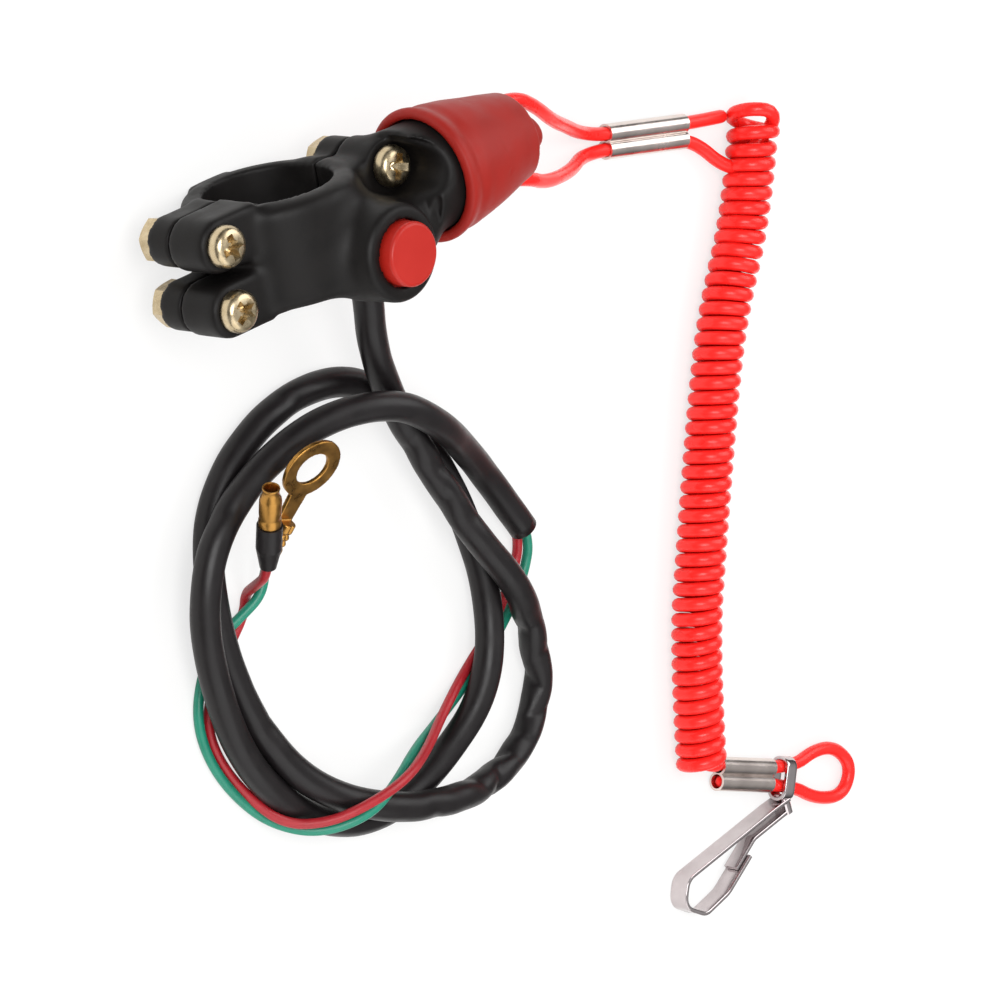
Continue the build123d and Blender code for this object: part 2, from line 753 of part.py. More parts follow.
# Tether cap, a tapered cup whose end holds the cord either side of a tongue
cavity_end = post_end + plunger_reach + cap_gap / 3
with BuildPart() as eye_channel:
    with BuildLine() as eye_route:
        FilletPolyline(*loop_points[5:11], radius=bend_radii(loop_points)[5:9])
    with BuildSketch(Plane(origin=eye_route.line @ 0, z_dir=eye_route.line % 0)):
        Circle(cord_radius + eye_gap)
    sweep(path=eye_route.line)
with BuildPart() as tether_cap:
    with BuildSketch(Plane.XZ.offset(-post_y)):
        with BuildLine():
            Polyline((cap_start, post_z), (cap_start, post_z + cap_rim_radius),
                     (cap_start + cap_rim_height, post_z + cap_rim_radius),
                     (cap_end, post_z + cap_neck_radius), (cap_end, post_z), close=True)
        make_face()
    revolve(axis=Axis((0, post_y, post_z), (1, 0, 0)))
    with BuildSketch(post_axis.offset(cap_end)):
        Ellipse(nose_half_width, nose_half_depth)
    extrude(amount=nose_length, taper=12)
    fillet(tether_cap.faces().sort_by(Axis.X)[-1].edges(), cap_lip)
    fillet(tether_cap.edges().filter_by(GeomType.CIRCLE).group_by(Axis.X)[0], cap_lip)
    with BuildSketch(post_axis.offset(cap_start)):
        Circle(post_radius + cap_gap)
    extrude(amount=cavity_end - cap_start, mode=Mode.SUBTRACT)
    add(eye_channel.part, mode=Mode.SUBTRACT)
save(tether_cap, "tether_cap")

# Snap hook: one bent strip with a closed eye, and its gate
eye_wall = eye_inner_width / 2 + strip_thickness
hook_eye = at_lower(hook_eye_along, 0)
eye_frame = Plane(origin=(hook_eye[0], hook_eye[1], floor_z),
                  x_dir=(-lower_ferrule_heading[1], lower_ferrule_heading[0], 0),
                  z_dir=(lower_ferrule_heading[0], lower_ferrule_heading[1], 0))
neck_origin = (hook_eye[0] + eye_wall * lower_ferrule_heading[1],
               hook_eye[1] - eye_wall * lower_ferrule_heading[0] + strip_thickness / 2, floor_z)
hook_frame_plane = Plane(origin=neck_origin, x_dir=(hook_heading[0], hook_heading[1], 0), z_dir=(0, 0, 1))
gate_root = (0.5, 2.5)
print("hook eye", hook_eye, "neck", neck_origin)
with BuildPart() as hook_frame:
    with BuildSketch(hook_frame_plane):
        with BuildLine() as strip:
            FilletPolyline((0, 0), (29.5, 0), (32.2, 4.5), (27.5, 8.8), (20.5, 8.2), (12.5, 4.8),
                           radius=[3.0, 3.0, 3.0, 6.0])
        trace(line_width=strip_thickness)
        with Locations((-1.6, -strip_thickness / 2)):
            Rectangle(1.8, gate_root[1] + strip_thickness, align=(Align.MIN, Align.MIN))
    extrude(amount=strip_width)
    with BuildSketch(eye_frame.offset(-eye_depth / 2)):
        with Locations((0, strip_thickness + eye_inner_height / 2)):
            Rectangle(eye_inner_width + 2 * strip_thickness, eye_inner_height + 2 * strip_thickness)
            Rectangle(eye_inner_width, eye_inner_height, mode=Mode.SUBTRACT)
    extrude(amount=eye_depth)
save(hook_frame, "hook_frame")
with BuildPart() as hook_gate:
    with BuildSketch(hook_frame_plane.offset((strip_width - gate_width) / 2)):
        with BuildLine():
            FilletPolyline(gate_root, (10.0, gate_root[1]), (16.5, 5.3), radius=3.0)
        trace(line_width=strip_thickness)
    extrude(amount=gate_width)
save(hook_gate, "hook_gate")
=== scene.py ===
import math

import bmesh
import bpy
import numpy as np
from mathutils import Matrix, Vector, noise


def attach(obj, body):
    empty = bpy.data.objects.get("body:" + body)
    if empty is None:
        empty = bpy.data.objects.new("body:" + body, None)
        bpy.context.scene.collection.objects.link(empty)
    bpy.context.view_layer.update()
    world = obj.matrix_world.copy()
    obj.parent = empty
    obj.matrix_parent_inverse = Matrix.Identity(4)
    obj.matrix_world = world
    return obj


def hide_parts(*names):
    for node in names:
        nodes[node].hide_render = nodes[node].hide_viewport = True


# Handlebar kill switch on its back, with its lead and its coiled lanyard laid out beside it
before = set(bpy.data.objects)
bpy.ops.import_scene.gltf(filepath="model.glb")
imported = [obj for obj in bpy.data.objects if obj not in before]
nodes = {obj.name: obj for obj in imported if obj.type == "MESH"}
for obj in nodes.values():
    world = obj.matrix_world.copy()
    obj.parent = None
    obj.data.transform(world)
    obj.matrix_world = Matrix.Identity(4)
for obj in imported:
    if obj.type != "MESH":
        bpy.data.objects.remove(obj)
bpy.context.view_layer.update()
scene = bpy.context.scene
floorZ = -14.4  # every length is in millimetres until toMetres


# Small helpers

def toMetres(point):
    return Vector(point) / 1000


def linearColour(hexText):
    channels = [int(hexText[i:i + 2], 16) / 255 for i in (1, 3, 5)]
    return [c / 12.92 if c <= 0.04045 else ((c + 0.055) / 1.055) ** 2.4 for c in channels] + [1.0]


def addNode(tree, kind, settings=None, links=None):
    node = tree.nodes.new(kind)
    for key, value in (settings or {}).items():
        if isinstance(key, int) or key in node.inputs:
            node.inputs[key].default_value = value
        else:
            setattr(node, key, value)
    for key, socket in (links or {}).items():
        tree.links.new(socket, node.inputs[key])
    return node


def newObject(name, mesh):
    piece = bpy.data.objects.new(name, mesh)
    scene.collection.objects.link(piece)
    return piece


def emptyTree(owner):
    owner.use_nodes = True
    owner.node_tree.nodes.clear()
    return owner.node_tree


def smoothStep(value):
    t = min(max(value, 0.0), 1.0)
    return t * t * (3 - 2 * t)


# Camera: low on the left and turned on its side, as the picture was taken

camera = {
    # place and directions were found by a least-squares fit to eleven points of the picture
    "place": (-643.45, 272.35, 703.97),
    "right": (0.6662, -0.1675, 0.7267),
    "up": (0.3484, 0.9315, -0.1047),
    "back": (-0.6594, 0.3229, 0.6789),
    "sensor": 36.0,
    "lens": 213.3,
    "clip": (0.01, 20),
}
cameraData = bpy.data.cameras.new("camera")
cameraData.sensor_width = camera["sensor"]
cameraData.lens = camera["lens"]
cameraData.clip_start, cameraData.clip_end = camera["clip"]
cameraObject = newObject("camera", cameraData)
turn = Matrix([camera["right"], camera["up"], camera["back"]]).transposed().to_4x4()
cameraObject.matrix_world = Matrix.Translation(toMetres(camera["place"])) @ turn
scene.camera = cameraObject
scene.view_settings.view_transform = "Standard"
print("camera set")


# Finishes: dark and light colour, patch size, roughness range, mirror strength, grain size and depth, metal or not

pattern = {"patchDetail": 4.0, "patchRoughness": 0.55, "patchRange": (0.3, 0.7), "grainDetail": 2.0, "bump": 0.6}
finishes = {
    # glass-filled nylon, moulded in a spark-eroded die: a fine even grain with a soft gloss
    "mouldedNylon": {"dark": "#0a0909", "light": "#161312", "patch": 5.0, "rough": (0.40, 0.56), "shine": 0.2,
                     "grain": 0.35, "depth": 0.012},
    # polished ABS push button
    "glossAbs": {"dark": "#a31c14", "light": "#b5251b", "patch": 7.0, "rough": (0.30, 0.42), "shine": 0.3,
                 "grain": 0.5, "depth": 0.004},
    # soft PVC cap, satin from the mould with a few flow marks
    "capVinyl": {"dark": "#861710", "light": "#9e2017", "patch": 6.0, "rough": (0.40, 0.58), "shine": 0.25,
                 "grain": 0.45, "depth": 0.010},
    # zinc plate under a yellow chromate: metal with a greenish to pink bloom
    "yellowZinc": {"dark": "#9c8763", "light": "#e2d2b2", "patch": 1.3, "rough": (0.20, 0.38),
                   "grain": 0.3, "depth": 0.006, "metal": 1.0},
    # stamped brass, tarnished in patches
    "stampedBrass": {"dark": "#8d6430", "light": "#c9974f", "patch": 2.2, "rough": (0.24, 0.44),
                     "grain": 0.4, "depth": 0.008, "metal": 1.0},
    # extruded vinyl tube, soft and a little oily
    "sleeveVinyl": {"dark": "#110f10", "light": "#1d191a", "patch": 4.0, "rough": (0.32, 0.46), "shine": 0.3,
                    "grain": 0.8, "depth": 0.020},
    # PVC wire cover
    "greenPvc": {"dark": "#0f6e58", "light": "#1f8f74", "patch": 3.0, "rough": (0.34, 0.46),
                 "grain": 0.5, "depth": 0.006},
    "redPvc": {"dark": "#8e1620", "light": "#b32029", "patch": 3.0, "rough": (0.34, 0.46),
               "grain": 0.5, "depth": 0.006},
    # polyurethane cord: clear bright red, wet gloss
    "redPolyurethane": {"dark": "#e81d1a", "light": "#f62b25", "patch": 9.0, "rough": (0.24, 0.34),
                        "shine": 0.35, "grain": 1.5, "depth": 0.004},
    # nickelled steel strip, crimped
    "nickelStrip": {"dark": "#c4b8b2", "light": "#ece1db", "patch": 5.0, "rough": (0.18, 0.28),
                    "grain": 0.3, "depth": 0.006, "metal": 1.0},
    # chromed spring strip
    "chromedStrip": {"dark": "#b5abac", "light": "#d6cecf", "patch": 4.0, "rough": (0.09, 0.17),
                     "grain": 0.6, "depth": 0.003, "metal": 1.0},
    # spring wire
    "springWire": {"dark": "#8f8c88", "light": "#b4b1ad", "patch": 1.0, "rough": (0.22, 0.34),
                   "grain": 0.25, "depth": 0.004, "metal": 1.0},
    # paper-filled phenolic contact board
    "phenolicBoard": {"dark": "#4a2f1c", "light": "#6d4a2e", "patch": 0.9, "rough": (0.50, 0.64),
                      "grain": 0.3, "depth": 0.008},
    # natural nylon plunger
    "naturalNylon": {"dark": "#cfc9bb", "light": "#e2ddd1", "patch": 2.0, "rough": (0.36, 0.50),
                     "grain": 0.4, "depth": 0.006},
}


def makeFinish(name, spec):
    material = bpy.data.materials.new(name)
    tree = emptyTree(material)
    place = addNode(tree, "ShaderNodeTexCoord").outputs["Object"]
    patches = addNode(tree, "ShaderNodeTexNoise",
                      {"Scale": 1000 / spec["patch"], "Detail": pattern["patchDetail"],
                       "Roughness": pattern["patchRoughness"]}, {"Vector": place})
    colour = addNode(tree, "ShaderNodeMix", {"data_type": "RGBA"})
    colour.inputs[6].default_value = linearColour(spec["dark"])
    colour.inputs[7].default_value = linearColour(spec["light"])
    tree.links.new(patches.outputs["Fac"], colour.inputs[0])
    (low, high), (smooth, coarse) = pattern["patchRange"], spec["rough"]
    rough = addNode(tree, "ShaderNodeMapRange",
                    {"From Min": low, "From Max": high, "To Min": smooth, "To Max": coarse},
                    {"Value": patches.outputs["Fac"]})
    grain = addNode(tree, "ShaderNodeTexNoise",
                    {"Scale": 1000 / spec["grain"], "Detail": pattern["grainDetail"]}, {"Vector": place})
    bump = addNode(tree, "ShaderNodeBump", {"Strength": pattern["bump"], "Distance": spec["depth"] / 1000},
                   {"Height": grain.outputs["Fac"]})
    shader = addNode(tree, "ShaderNodeBsdfPrincipled",
                     {"Metallic": spec.get("metal", 0.0), "Specular IOR Level": spec.get("shine", 0.5)},
                     {"Base Color": colour.outputs[2], "Roughness": rough.outputs["Result"],
                      "Normal": bump.outputs["Normal"]})
    addNode(tree, "ShaderNodeOutputMaterial", links={"Surface": shader.outputs["BSDF"]})
    return material


materials = {name: makeFinish(name, spec) for name, spec in finishes.items()}
print("finishes made:", len(materials))


# Cords

def routeLine(points, steps=16):
    curve = bpy.data.curves.new("route", "CURVE")
    curve.dimensions = "3D"
    spline = curve.splines.new("NURBS")
    spline.points.add(len(points) - 1)
    for target, point in zip(spline.points, points):
        target.co = (*toMetres(point), 1)
    spline.order_u = 3
    spline.use_endpoint_u = True
    curve.resolution_u = steps
    holder = newObject("route", curve)
    mesh = bpy.data.meshes.new_from_object(holder)
    line = [v.co.copy() for v in mesh.vertices]
    bpy.data.objects.remove(holder)
    bpy.data.curves.remove(curve)
    bpy.data.meshes.remove(mesh)
    return line


def distancesAlong(line):
    found = [0.0]
    for before, after in zip(line, line[1:]):
        found.append(found[-1] + (after - before).length)
    return found


def framesAlong(line):
    tangents = []
    for i in range(len(line)):
        tangents.append((line[min(i + 1, len(line) - 1)] - line[max(i - 1, 0)]).normalized())
    side = tangents[0].orthogonal().normalized()
    sides = []
    for i, tangent in enumerate(tangents):
        if i:
            side = tangents[i - 1].rotation_difference(tangent) @ side
        side = (side - tangent * side.dot(tangent)).normalized()
        sides.append(side)
    return [(t, s, t.cross(s)) for t, s in zip(tangents, sides)]


def sweepTube(name, line, radiusAt, sides=14, roundStart=False, roundEnd=False):
    steps = distancesAlong(line)
    rings = []  # place on the line, how far beyond it, share of the radius
    frames = framesAlong(line)
    tipAngles = [75, 50, 25]
    if roundStart:
        for angle in tipAngles:
            rings.append((0, -math.sin(math.radians(angle)), math.cos(math.radians(angle))))
    rings += [(i, 0.0, 1.0) for i in range(len(line))]
    if roundEnd:
        for angle in reversed(tipAngles):
            rings.append((len(line) - 1, math.sin(math.radians(angle)), math.cos(math.radians(angle))))
    mesh = bmesh.new()
    uvLayer = mesh.loops.layers.uv.new("along")
    made = []
    for i, forward, share in rings:
        tangent, side, up = frames[i]
        row = []
        for k in range(sides):
            angle = 2 * math.pi * k / sides
            radius = radiusAt(steps[i], angle)
            around = side * math.cos(angle) + up * math.sin(angle)
            row.append(mesh.verts.new(line[i] + tangent * (forward * radius) + around * (radius * share)))
        made.append((row, steps[i]))
    for (before, startAt), (after, endAt) in zip(made, made[1:]):
        for k in range(sides):
            n = (k + 1) % sides
            face = mesh.faces.new((before[k], before[n], after[n], after[k]))
            for loop, (u, v) in zip(face.loops, ((k, startAt), (k + 1, startAt), (k + 1, endAt), (k, endAt))):
                loop[uvLayer].uv = (u / sides, v)
    mesh.faces.new(list(reversed(made[0][0])))
    mesh.faces.new(made[-1][0])
    bmesh.ops.recalc_face_normals(mesh, faces=mesh.faces)
    data = bpy.data.meshes.new(name)
    mesh.to_mesh(data)
    mesh.free()
    data.shade_smooth()
    return newObject(name, data)


def finishPiece(piece, body, finish, replaced=()):
    piece.data.materials.clear()
    piece.data.materials.append(materials[finish])
    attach(piece, body)
    if replaced:
        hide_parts(*replaced)
    return piece


# Moulded parts: the CAD skin is remeshed fine and its outside is drawn onto soft unions of the mould's forms

def fineMesh(name, voxel):
    source = nodes[name].data.copy()
    merged = bmesh.new()
    merged.from_mesh(source)
    bmesh.ops.remove_doubles(merged, verts=merged.verts, dist=1e-6)
    merged.to_mesh(source)
    merged.free()
    holder = newObject("fine", source)
    remesh = holder.modifiers.new("remesh", "REMESH")
    remesh.mode = "VOXEL"
    remesh.voxel_size = voxel / 1000
    graph = bpy.context.evaluated_depsgraph_get()
    mesh = bpy.data.meshes.new_from_object(holder.evaluated_get(graph))
    bpy.data.objects.remove(holder)
    bpy.data.meshes.remove(source)
    mesh.name = name
    return mesh


def readSpots(mesh):
    flat = np.empty(len(mesh.vertices) * 3, dtype=np.float32)
    mesh.vertices.foreach_get("co", flat)
    normals = np.empty_like(flat)
    mesh.vertices.foreach_get("normal", normals)
    return flat.reshape(-1, 3).astype(float) * 1000, normals.reshape(-1, 3).astype(float)


def writeSpots(mesh, spots):
    mesh.vertices.foreach_set("co", (spots / 1000).astype(np.float32).ravel())
    mesh.update()
    mesh.shade_smooth()


def roundedPrism(flat, along, low, high, edge):
    # flat: signed distance to the outline; along: place on the prism's axis
    inside = np.abs(along - (low + high) / 2) - (high - low) / 2 + edge
    outline = flat + edge
    return (np.minimum(np.maximum(inside, outline), 0)
            + np.hypot(np.maximum(inside, 0), np.maximum(outline, 0)) - edge)


def diskDistance(across, upward, centre, radius):
    return np.hypot(across - centre[0], upward - centre[1]) - radius


def slotDistance(across, upward, start, end, radius):
    share = np.clip((across - start[0]) / (end[0] - start[0]), 0, 1)
    return np.hypot(across - start[0] - share * (end[0] - start[0]), upward - start[1]) - radius


def boxDistance(spots, low, high, edge):
    low, high = np.array(low), np.array(high)
    gap = np.abs(spots - (low + high) / 2) - (high - low) / 2 + edge
    return np.linalg.norm(np.maximum(gap, 0), axis=1) + np.minimum(gap.max(axis=1), 0) - edge


def softUnion(one, other, blend):
    share = np.clip(0.5 + 0.5 * (other - one) / blend, 0, 1)
    return other * (1 - share) + one * share - blend * share * (1 - share)


def smoothShare(values, start, end):
    t = np.clip((values - start) / (end - start), 0, 1)
    return t * t * (3 - 2 * t)


drawing = {"step": 0.02, "facing": (0.25, 0.6), "fade": 0.7, "stride": 0.6, "rounds": 5}


def drawOnto(spots, normals, form, hold, reach):
    # slides the outer skin along the form's gradient; hold is 0 where the CAD's own surface stays
    step, stride = drawing["step"], drawing["stride"]

    def gradient(places):
        parts = []
        for axis in range(3):
            shift = np.zeros(3)
            shift[axis] = step
            parts.append((form(places + shift) - form(places - shift)) / (2 * step))
        found = np.stack(parts, axis=1)
        return found / np.maximum(np.linalg.norm(found, axis=1), 1e-6)[:, None]

    facing = (gradient(spots) * normals).sum(axis=1)
    depth = np.abs(form(spots))
    fade = 1 - smoothShare(depth, reach * drawing["fade"], reach)
    free = hold * smoothShare(facing, *drawing["facing"]) * fade
    placed = spots.copy()
    for _ in range(drawing["rounds"]):
        placed -= gradient(placed) * np.clip(form(placed), -stride, stride)[:, None]
    return spots + (placed - spots) * free[:, None], free


def evenOut(mesh, spots, share, rounds):
    edges = np.empty(len(mesh.edges) * 2, dtype=np.int32)
    mesh.edges.foreach_get("vertices", edges)
    a, b = edges.reshape(-1, 2).T
    count = np.bincount(a, minlength=len(spots)) + np.bincount(b, minlength=len(spots))
    for _ in range(rounds):
        total = np.zeros_like(spots)
        for axis in range(3):
            total[:, axis] = (np.bincount(a, spots[b, axis], minlength=len(spots))
                              + np.bincount(b, spots[a, axis], minlength=len(spots)))
        spots = spots + (total / np.maximum(count, 1)[:, None] - spots) * (0.5 * share)[:, None]
    return spots


mould = {
    "voxel": 0.42,
    "ring": {"radius": 15.1, "half": 9.2, "edge": 2.3, "bore": 11.1},
    "lug": {"x": -20.0, "y": 5.6, "inner": -8.0, "front": 4.7, "rear": 4.3, "top": 8.4, "bottom": -5.4,
            "past": 4.0, "edge": 0.9},
    "postLug": {"spot": (20.0, 6.4), "low": (10.0, -9.4), "high": (23.8, 9.1), "edge": 2.6, "diskEdge": 0.8},
    "boss": {"spot": (9.0, -4.5), "radius": 8.4, "foot": 4.0, "top": 20.2, "edge": 1.2},
    "post": {"spot": (2.5, 9.5), "radius": 9.8, "start": 20.0, "end": 36.5, "edge": 1.0},
    "shoulder": {"low": (6.0, -9.8, -6.0), "high": (23.5, 2.0, 16.0), "edge": 4.0},
    "blends": {"boss": 5.5, "shoulder": 3.5, "post": 3.0, "postLug": 1.6, "lug": 1.8, "recess": 1.9,
               "lugPair": 0.8, "block": 1.0, "rearLug": 2.2, "floor": 0.8},
    "screwRecess": {"radius": 3.95, "top": 40.0, "edge": 0.8},
    "plungerBore": {"radius": 2.68, "relief": 0.15, "inside": 0.5, "face": 34.9, "slack": 0.2, "band": 0.3,
                    "faceRadius": 4.3},
    # the CAD's own surface stays up to the first distance, and past the second the skin is drawn in full
    "kept": {"bore": (0.25, 1.6), "button": (5.9, 6.5), "plunger": (4.3, 5.0), "screw": (2.3, 2.8),
             "channel": (3.0, 3.5), "nut": (4.15, 4.3), "floor": (0.1, 0.8)},
    "buttonFrom": 12.0,
    "plungerFrom": 26.0,
    "channel": {"x": 18.2, "below": -6.0},
    "nutPocket": {"z": -5.0, "half": 0.7},
    "reach": {"front": 4.5, "rear": 2.0},
    "even": {"front": (0.9, 10), "rear": (0.8, 4)},
}
screwSpots = [mould["postLug"]["spot"]] + [(mould["lug"]["x"], way * mould["lug"]["y"]) for way in (-1, 1)]


def pillarForm(p, spot, radius, low, high, edge):
    return roundedPrism(diskDistance(p[:, 0], p[:, 1], spot, radius), p[:, 2], low, high, edge)


def ringForm(p):
    ring = mould["ring"]
    circle = diskDistance(p[:, 0], p[:, 2], (0, 0), ring["radius"])
    return roundedPrism(circle, p[:, 1], -ring["half"], ring["half"], ring["edge"])


def lugForm(p, radius, low, high):
    lug = mould["lug"]
    pair = []
    for y in (-lug["y"], lug["y"]):
        slot = slotDistance(p[:, 0], p[:, 1], (lug["x"], y), (lug["inner"], y), radius)
        pair.append(roundedPrism(slot, p[:, 2], low, high, lug["edge"]))
    return softUnion(*pair, mould["blends"]["lugPair"])


def postLugForm(p, radius, low, high):
    lug = mould["postLug"]
    disk = pillarForm(p, lug["spot"], radius, low, high, lug["diskEdge"])
    block = boxDistance(p, (*lug["low"], low), (*lug["high"], high), lug["edge"])
    return softUnion(disk, block, mould["blends"]["block"])


def housingForm(p):
    boss, post, shoulder, lug = mould["boss"], mould["post"], mould["shoulder"], mould["lug"]
    circle = diskDistance(p[:, 1], p[:, 2], post["spot"], post["radius"])
    parts = {
        "boss": pillarForm(p, boss["spot"], boss["radius"], boss["foot"], boss["top"], boss["edge"]),
        "shoulder": boxDistance(p, shoulder["low"], shoulder["high"], shoulder["edge"]),
        "post": roundedPrism(circle, p[:, 0], post["start"], post["end"], post["edge"]),
        "postLug": postLugForm(p, lug["front"], -lug["past"], lug["top"]),
        "lug": lugForm(p, lug["front"], -lug["past"], lug["top"]),
    }
    form = ringForm(p)
    for name, part in parts.items():
        form = softUnion(form, part, mould["blends"][name])
    well = mould["screwRecess"]
    recess = pillarForm(p, mould["postLug"]["spot"], well["radius"], lug["top"], well["top"], well["edge"])
    return -softUnion(-form, recess, mould["blends"]["recess"])


def keepRound(hold, across, upward, name, where=True):
    return hold * (1 - (1 - smoothShare(np.hypot(across, upward), *mould["kept"][name])) * where)


def boreHold(x, z):
    start, end = mould["kept"]["bore"]
    return smoothShare(np.hypot(x, z), mould["ring"]["bore"] + start, mould["ring"]["bore"] + end)


def outFromPost(spots):
    out = spots[:, 1:] - np.array(mould["post"]["spot"])
    return out, np.maximum(np.hypot(out[:, 0], out[:, 1]), 1e-6)


def mouldHousing():
    mesh = fineMesh("front_housing", mould["voxel"])
    spots, normals = readSpots(mesh)
    x, y, z = spots.T
    boss, post, channel = mould["boss"]["spot"], mould["post"]["spot"], mould["channel"]
    hold = boreHold(x, z)
    hold = keepRound(hold, x - boss[0], y - boss[1], "button", z > mould["buttonFrom"])
    hold = keepRound(hold, y - post[0], z - post[1], "plunger", x > mould["plungerFrom"])
    for spot in screwSpots:
        hold = keepRound(hold, x - spot[0], y - spot[1], "screw")
    hold = keepRound(hold, x - channel["x"], z, "channel", y < channel["below"])
    spots, free = drawOnto(spots, normals, housingForm, hold, mould["reach"]["front"])
    evenShare, evenRounds = mould["even"]["front"]
    spots = evenOut(mesh, spots, free * evenShare, evenRounds)
    # the plunger's bore keeps clear of the plunger and its collar
    bore = mould["plungerBore"]
    wide = bore["radius"] + bore["relief"]
    out, radius = outFromPost(spots)
    wall = (spots[:, 0] > bore["face"] - bore["slack"]) & (radius > bore["radius"] - bore["inside"])
    spots[:, 1:] += out / radius[:, None] * np.where(wall & (radius < wide), wide - radius, 0)[:, None]
    back = (np.abs(spots[:, 0] - bore["face"]) < bore["band"]) & (radius < bore["faceRadius"])
    spots[:, 0] += np.where(back, bore["slack"], 0)
    writeSpots(mesh, spots)
    return newObject("frontHousing", mesh)


def rearForm(p):
    lug, blends = mould["lug"], mould["blends"]
    form = softUnion(ringForm(p), lugForm(p, lug["rear"], lug["bottom"], lug["past"]), blends["rearLug"])
    form = softUnion(form, postLugForm(p, lug["rear"], lug["bottom"], lug["past"]), blends["postLug"])
    return -softUnion(-form, p[:, 2] - floorZ, blends["floor"])


def mouldRear():
    mesh = fineMesh("rear_clamp", mould["voxel"])
    spots, normals = readSpots(mesh)
    x, y, z = spots.T
    pocket, channel, (low, high) = mould["nutPocket"], mould["channel"], mould["kept"]["floor"]
    hold = boreHold(x, z) * smoothShare(z, floorZ + low, floorZ + high)
    for spot in screwSpots:
        hold = keepRound(hold, x - spot[0], y - spot[1], "nut", np.abs(z - pocket["z"]) < pocket["half"])
    hold = keepRound(hold, x - channel["x"], z, "channel", y < channel["below"])
    spots, free = drawOnto(spots, normals, rearForm, hold, mould["reach"]["rear"])
    evenShare, evenRounds = mould["even"]["rear"]
    writeSpots(mesh, evenOut(mesh, spots, free * evenShare, evenRounds))
    return newObject("rearClamp", mesh)


cap = {
    "voxel": 0.36,
    "rimEnd": 28.2,
    "coneEnd": 48.5,
    "rimRadius": 12.0,
    "neckRadius": 8.6,
    "skinBand": (-1.3, -0.5),
    "endSlack": 0.3,
    "beadDip": 0.55,
    "beadShift": 1.0,
    "beadWidth": 1.5,
    "tailWaist": 34.0,
    "tailFrom": 44.0,
    "tailShare": 0.82,
    "tailDip": 0.45,
    "sag": 0.16,
    "sagFrom": (29.0, 33.0),
    "waveScale": 0.14,
    "even": (0.6, 2),
}


def mouldCap():
    mesh = fineMesh("tether_cap", cap["voxel"])
    spots, normals = readSpots(mesh)
    x = spots[:, 0]
    out, radius = outFromPost(spots)
    share = np.clip((x - cap["rimEnd"]) / (cap["coneEnd"] - cap["rimEnd"]), 0, 1)
    skin = cap["rimRadius"] + share * (cap["neckRadius"] - cap["rimRadius"])
    outer = smoothShare(radius - skin, *cap["skinBand"]) * (x < cap["coneEnd"] + cap["endSlack"])
    dip = cap["beadDip"] * np.exp(-((x - cap["rimEnd"] - cap["beadShift"]) / cap["beadWidth"]) ** 2)
    wave = np.array([noise.noise(Vector(spot) * cap["waveScale"]) for spot in spots]) - 0.5
    change = outer * (dip + cap["sag"] * (0.5 - wave) * smoothShare(x, *cap["sagFrom"]))
    change += outer * cap["tailDip"] * smoothShare(x, cap["tailWaist"], cap["coneEnd"])
    spots[:, 1:] -= out / radius[:, None] * change[:, None]
    spots[:, 0] -= np.maximum(x - cap["tailFrom"], 0) * (1 - cap["tailShare"])
    evenShare, evenRounds = cap["even"]
    writeSpots(mesh, evenOut(mesh, spots, outer * evenShare, evenRounds))
    return newObject("tetherCap", mesh)


mouldings = [
    finishPiece(mouldHousing(), "switch", "mouldedNylon", ["front_housing"]),
    finishPiece(mouldRear(), "switch", "mouldedNylon", ["rear_clamp"]),
    finishPiece(mouldCap(), "cap", "capVinyl", ["tether_cap"]),
]
print("mouldings drawn:", [len(piece.data.polygons) for piece in mouldings])

# Fasteners: one screw and one nut, repeated by Geometry Nodes

fastener = {
    "places": ((-20.0, 5.6), (-20.0, -5.6), (20.0, 6.4)),
    "turns": (12.0, 38.0, -20.0),
    "seat": 8.4,
    "shaft": 2.0,
    "head": ((0.0, 2.7), (2.3, 2.66), (2.85, 2.5), (3.25, 2.15), (3.5, 1.65), (3.6, 1.1), (3.6, 0.4),
             (3.5, 0.08), (3.3, 0.0), (2.0, 0.0)),
    "pitch": 0.7,
    "threadDepth": 0.28,
    "threadStart": -2.0,
    "threadEnd": -8.0,
    "lastTurn": 0.6,
    "point": (0.5, 0.25),
    "recess": {"length": 5.0, "width": 1.5, "foot": 2.2, "footWidth": 0.9, "depth": 1.7, "star": 2.9,
               "above": 0.3, "tip": 0.4},
    "nut": {"seat": -4.6, "height": 3.0, "flats": 7.0, "hole": 2.08, "chamfer": 30.0, "faceShare": 0.97,
            "holeChamfer": 0.15, "sides": 72},
}


def lathe(profile, sides=48):
    # profile: (radius, height) from the top down; ends on the axis or closes on itself
    mesh = bmesh.new()
    rows = []
    for radius, height in profile:
        if radius < 1e-6:
            rows.append([mesh.verts.new(toMetres((0, 0, height)))])
        else:
            rows.append([mesh.verts.new(toMetres((radius * math.cos(2 * math.pi * k / sides),
                                                  radius * math.sin(2 * math.pi * k / sides), height)))
                         for k in range(sides)])
    pairs = list(zip(rows, rows[1:]))
    if len(rows[0]) > 1 and len(rows[-1]) > 1:
        pairs.append((rows[-1], rows[0]))
    for upper, lower in pairs:
        for k in range(sides):
            n = (k + 1) % sides
            corners = [row[i % len(row)] for row, i in ((upper, k), (lower, k), (lower, n), (upper, n))]
            unique = list(dict.fromkeys(corners))
            if len(unique) > 2:
                mesh.faces.new(unique)
    bmesh.ops.recalc_face_normals(mesh, faces=mesh.faces)
    return mesh


def smoothByAngle(mesh, limit):
    mesh.shade_smooth()
    built = bmesh.new()
    built.from_mesh(mesh)
    for edge in built.edges:
        edge.smooth = len(edge.link_faces) != 2 or edge.calc_face_angle(0) < math.radians(limit)
    built.to_mesh(mesh)
    built.free()


def toMesh(name, built):
    data = bpy.data.meshes.new(name)
    built.to_mesh(data)
    built.free()
    return data


